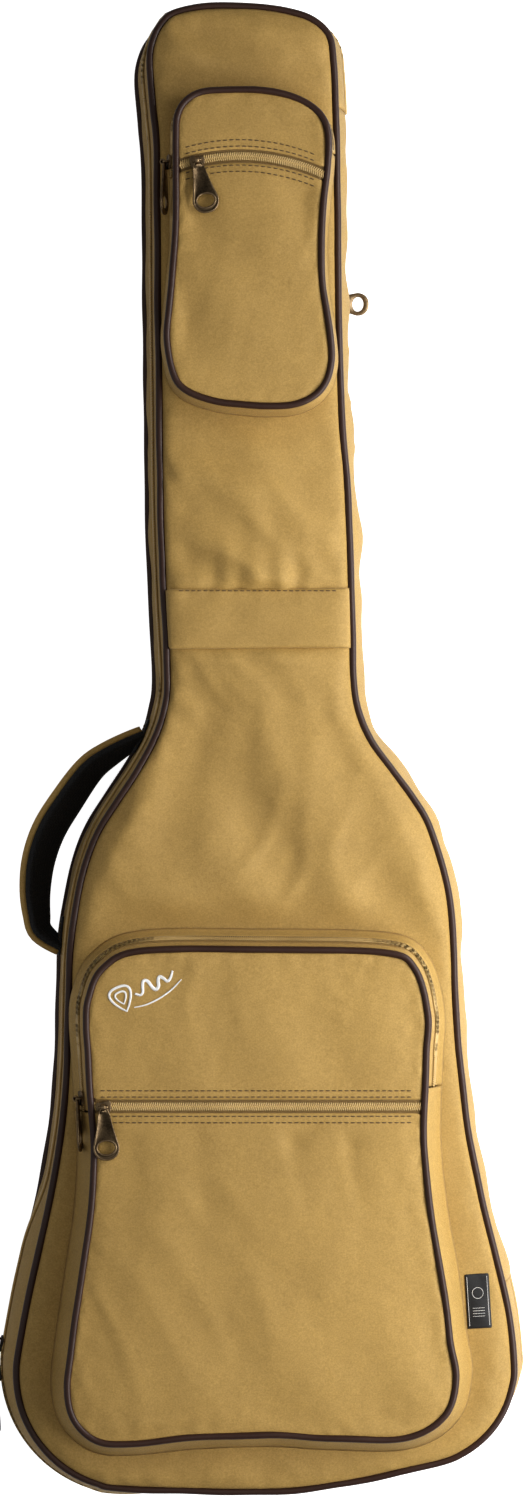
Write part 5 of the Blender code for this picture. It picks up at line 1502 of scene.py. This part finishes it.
rear = panel("rear_pocket_canvas", rear_outline, rear_top, BACK_Z - 0.6 * MM, canvas, 6 * MM, (0.8, 2, 4, 7))
sewn = rear_loop - normals(rear_loop, True) * 6 * MM
hem = stretch(sewn, (rear_high_y, -1), (rear_low_y - 12 * MM, 1))
placed(stitches("rear_pocket_stitching", surface_of(rear), [hem], khaki_thread, down=False),
       "shell", "main_fabric")
placed(rear, "shell", "main_fabric", "rear_pocket_panel", fill=0.15)
rear_line = np.array([(rear_zip_x, y) for y in np.linspace(rear_low_y, rear_high_y, 60)])
flat_zip("rear", rear_line, REAR_ZIP_Z, (8 * MM, 9 * MM), "shell", ("rear_zip_outer", "rear_zip_inner"),
         ("outer", "inner"), down=False)


# ---- floor, light and camera
def lamp(name, place, aim, size, power):
    """A soft rectangular light that the camera doesn't see."""
    data = bpy.data.lights.new(name, "AREA")
    data.shape = "RECTANGLE"
    data.size, data.size_y = size
    data.energy = power
    obj = bpy.data.objects.new(name, data)
    bpy.context.scene.collection.objects.link(obj)
    obj.visible_camera = False
    obj.location = place
    obj.rotation_euler = (Vector(aim) - Vector(place)).to_track_quat("-Z", "Y").to_euler()


def studio_floor():
    """A pale floor, with a faint unevenness in its tone."""
    material, tree, shader = finish_named("pale_floor", Specular_IOR_Level=0.1)
    spot = add(tree, "ShaderNodeTexCoord").outputs["Object"]
    tone = spread_out(tree, noise(tree, spot, 0.8), 0.3, 0.7, 0.97, 1.0)
    plug(tree, shader["Base Color"], blend_colours(tree, tone, (0.93, 0.93, 0.93, 1), (0.96, 0.96, 0.96, 1)))
    plug(tree, shader["Roughness"], spread_out(tree, noise(tree, spot, 3.0), 0.3, 0.7, 0.9, 1.0))
    seen = add(tree, "ShaderNodeLightPath").outputs["Is Camera Ray"]
    plug(tree, shader["Emission Color"], blend_colours(tree, seen, (0, 0, 0, 1), (1, 1, 1, 1)))
    shader["Emission Strength"].default_value = 0.75
    size = 6.0
    ticks = np.linspace(-size, size, 9)
    wide = len(ticks)
    verts = [(x, y, -0.2 * MM) for y in ticks for x in ticks]
    faces = [[i, i + 1, i + 1 + wide, i + wide]
             for row in range(wide - 1) for i in range(row * wide, row * wide + wide - 1)]
    finished("studio_floor", verts, faces, material)


studio_floor()
lamp("key_light", (0.70, -0.08, 0.56), (0, -0.08, 0.05), (1.5, 0.4), 14.0)
lamp("top_light", (0.2, 0.0, 2.4), (0, 0, 0.05), (2.2, 2.6), 6)
lamp("fill_light", (-1.7, -0.5, 1.3), (0, 0, 0.05), (1.4, 1.8), 3.0)
world = bpy.data.worlds.new("studio_air")
world.use_nodes = True
world_tree = world.node_tree
air = world_tree.nodes["Background"]
air.inputs[0].default_value = (0.95, 0.97, 1.0, 1)
seen = add(world_tree, "ShaderNodeLightPath").outputs["Is Camera Ray"]
plug(world_tree, air.inputs[1], spread_out(world_tree, seen, 0, 1, 0.2, 0.95))
bpy.context.scene.world = world
bpy.context.scene.view_settings.view_transform = "Standard"
bpy.context.scene.view_settings.look = "Medium High Contrast"

VIEW_HEIGHT = 1.05                # how much of the front piping's plane the camera takes in, foot to head
VIEW_DISTANCE = 2.6
SENSOR = 36.0
camera_data = bpy.data.cameras.new("camera")
camera_data.sensor_width = SENSOR
camera_data.lens = SENSOR * VIEW_DISTANCE / VIEW_HEIGHT
camera = bpy.data.objects.new("camera", camera_data)
camera.location = (SHIFT_X, SHIFT_Y, FRONT_PIPING_Z + VIEW_DISTANCE)
bpy.context.scene.collection.objects.link(camera)
bpy.context.scene.camera = camera
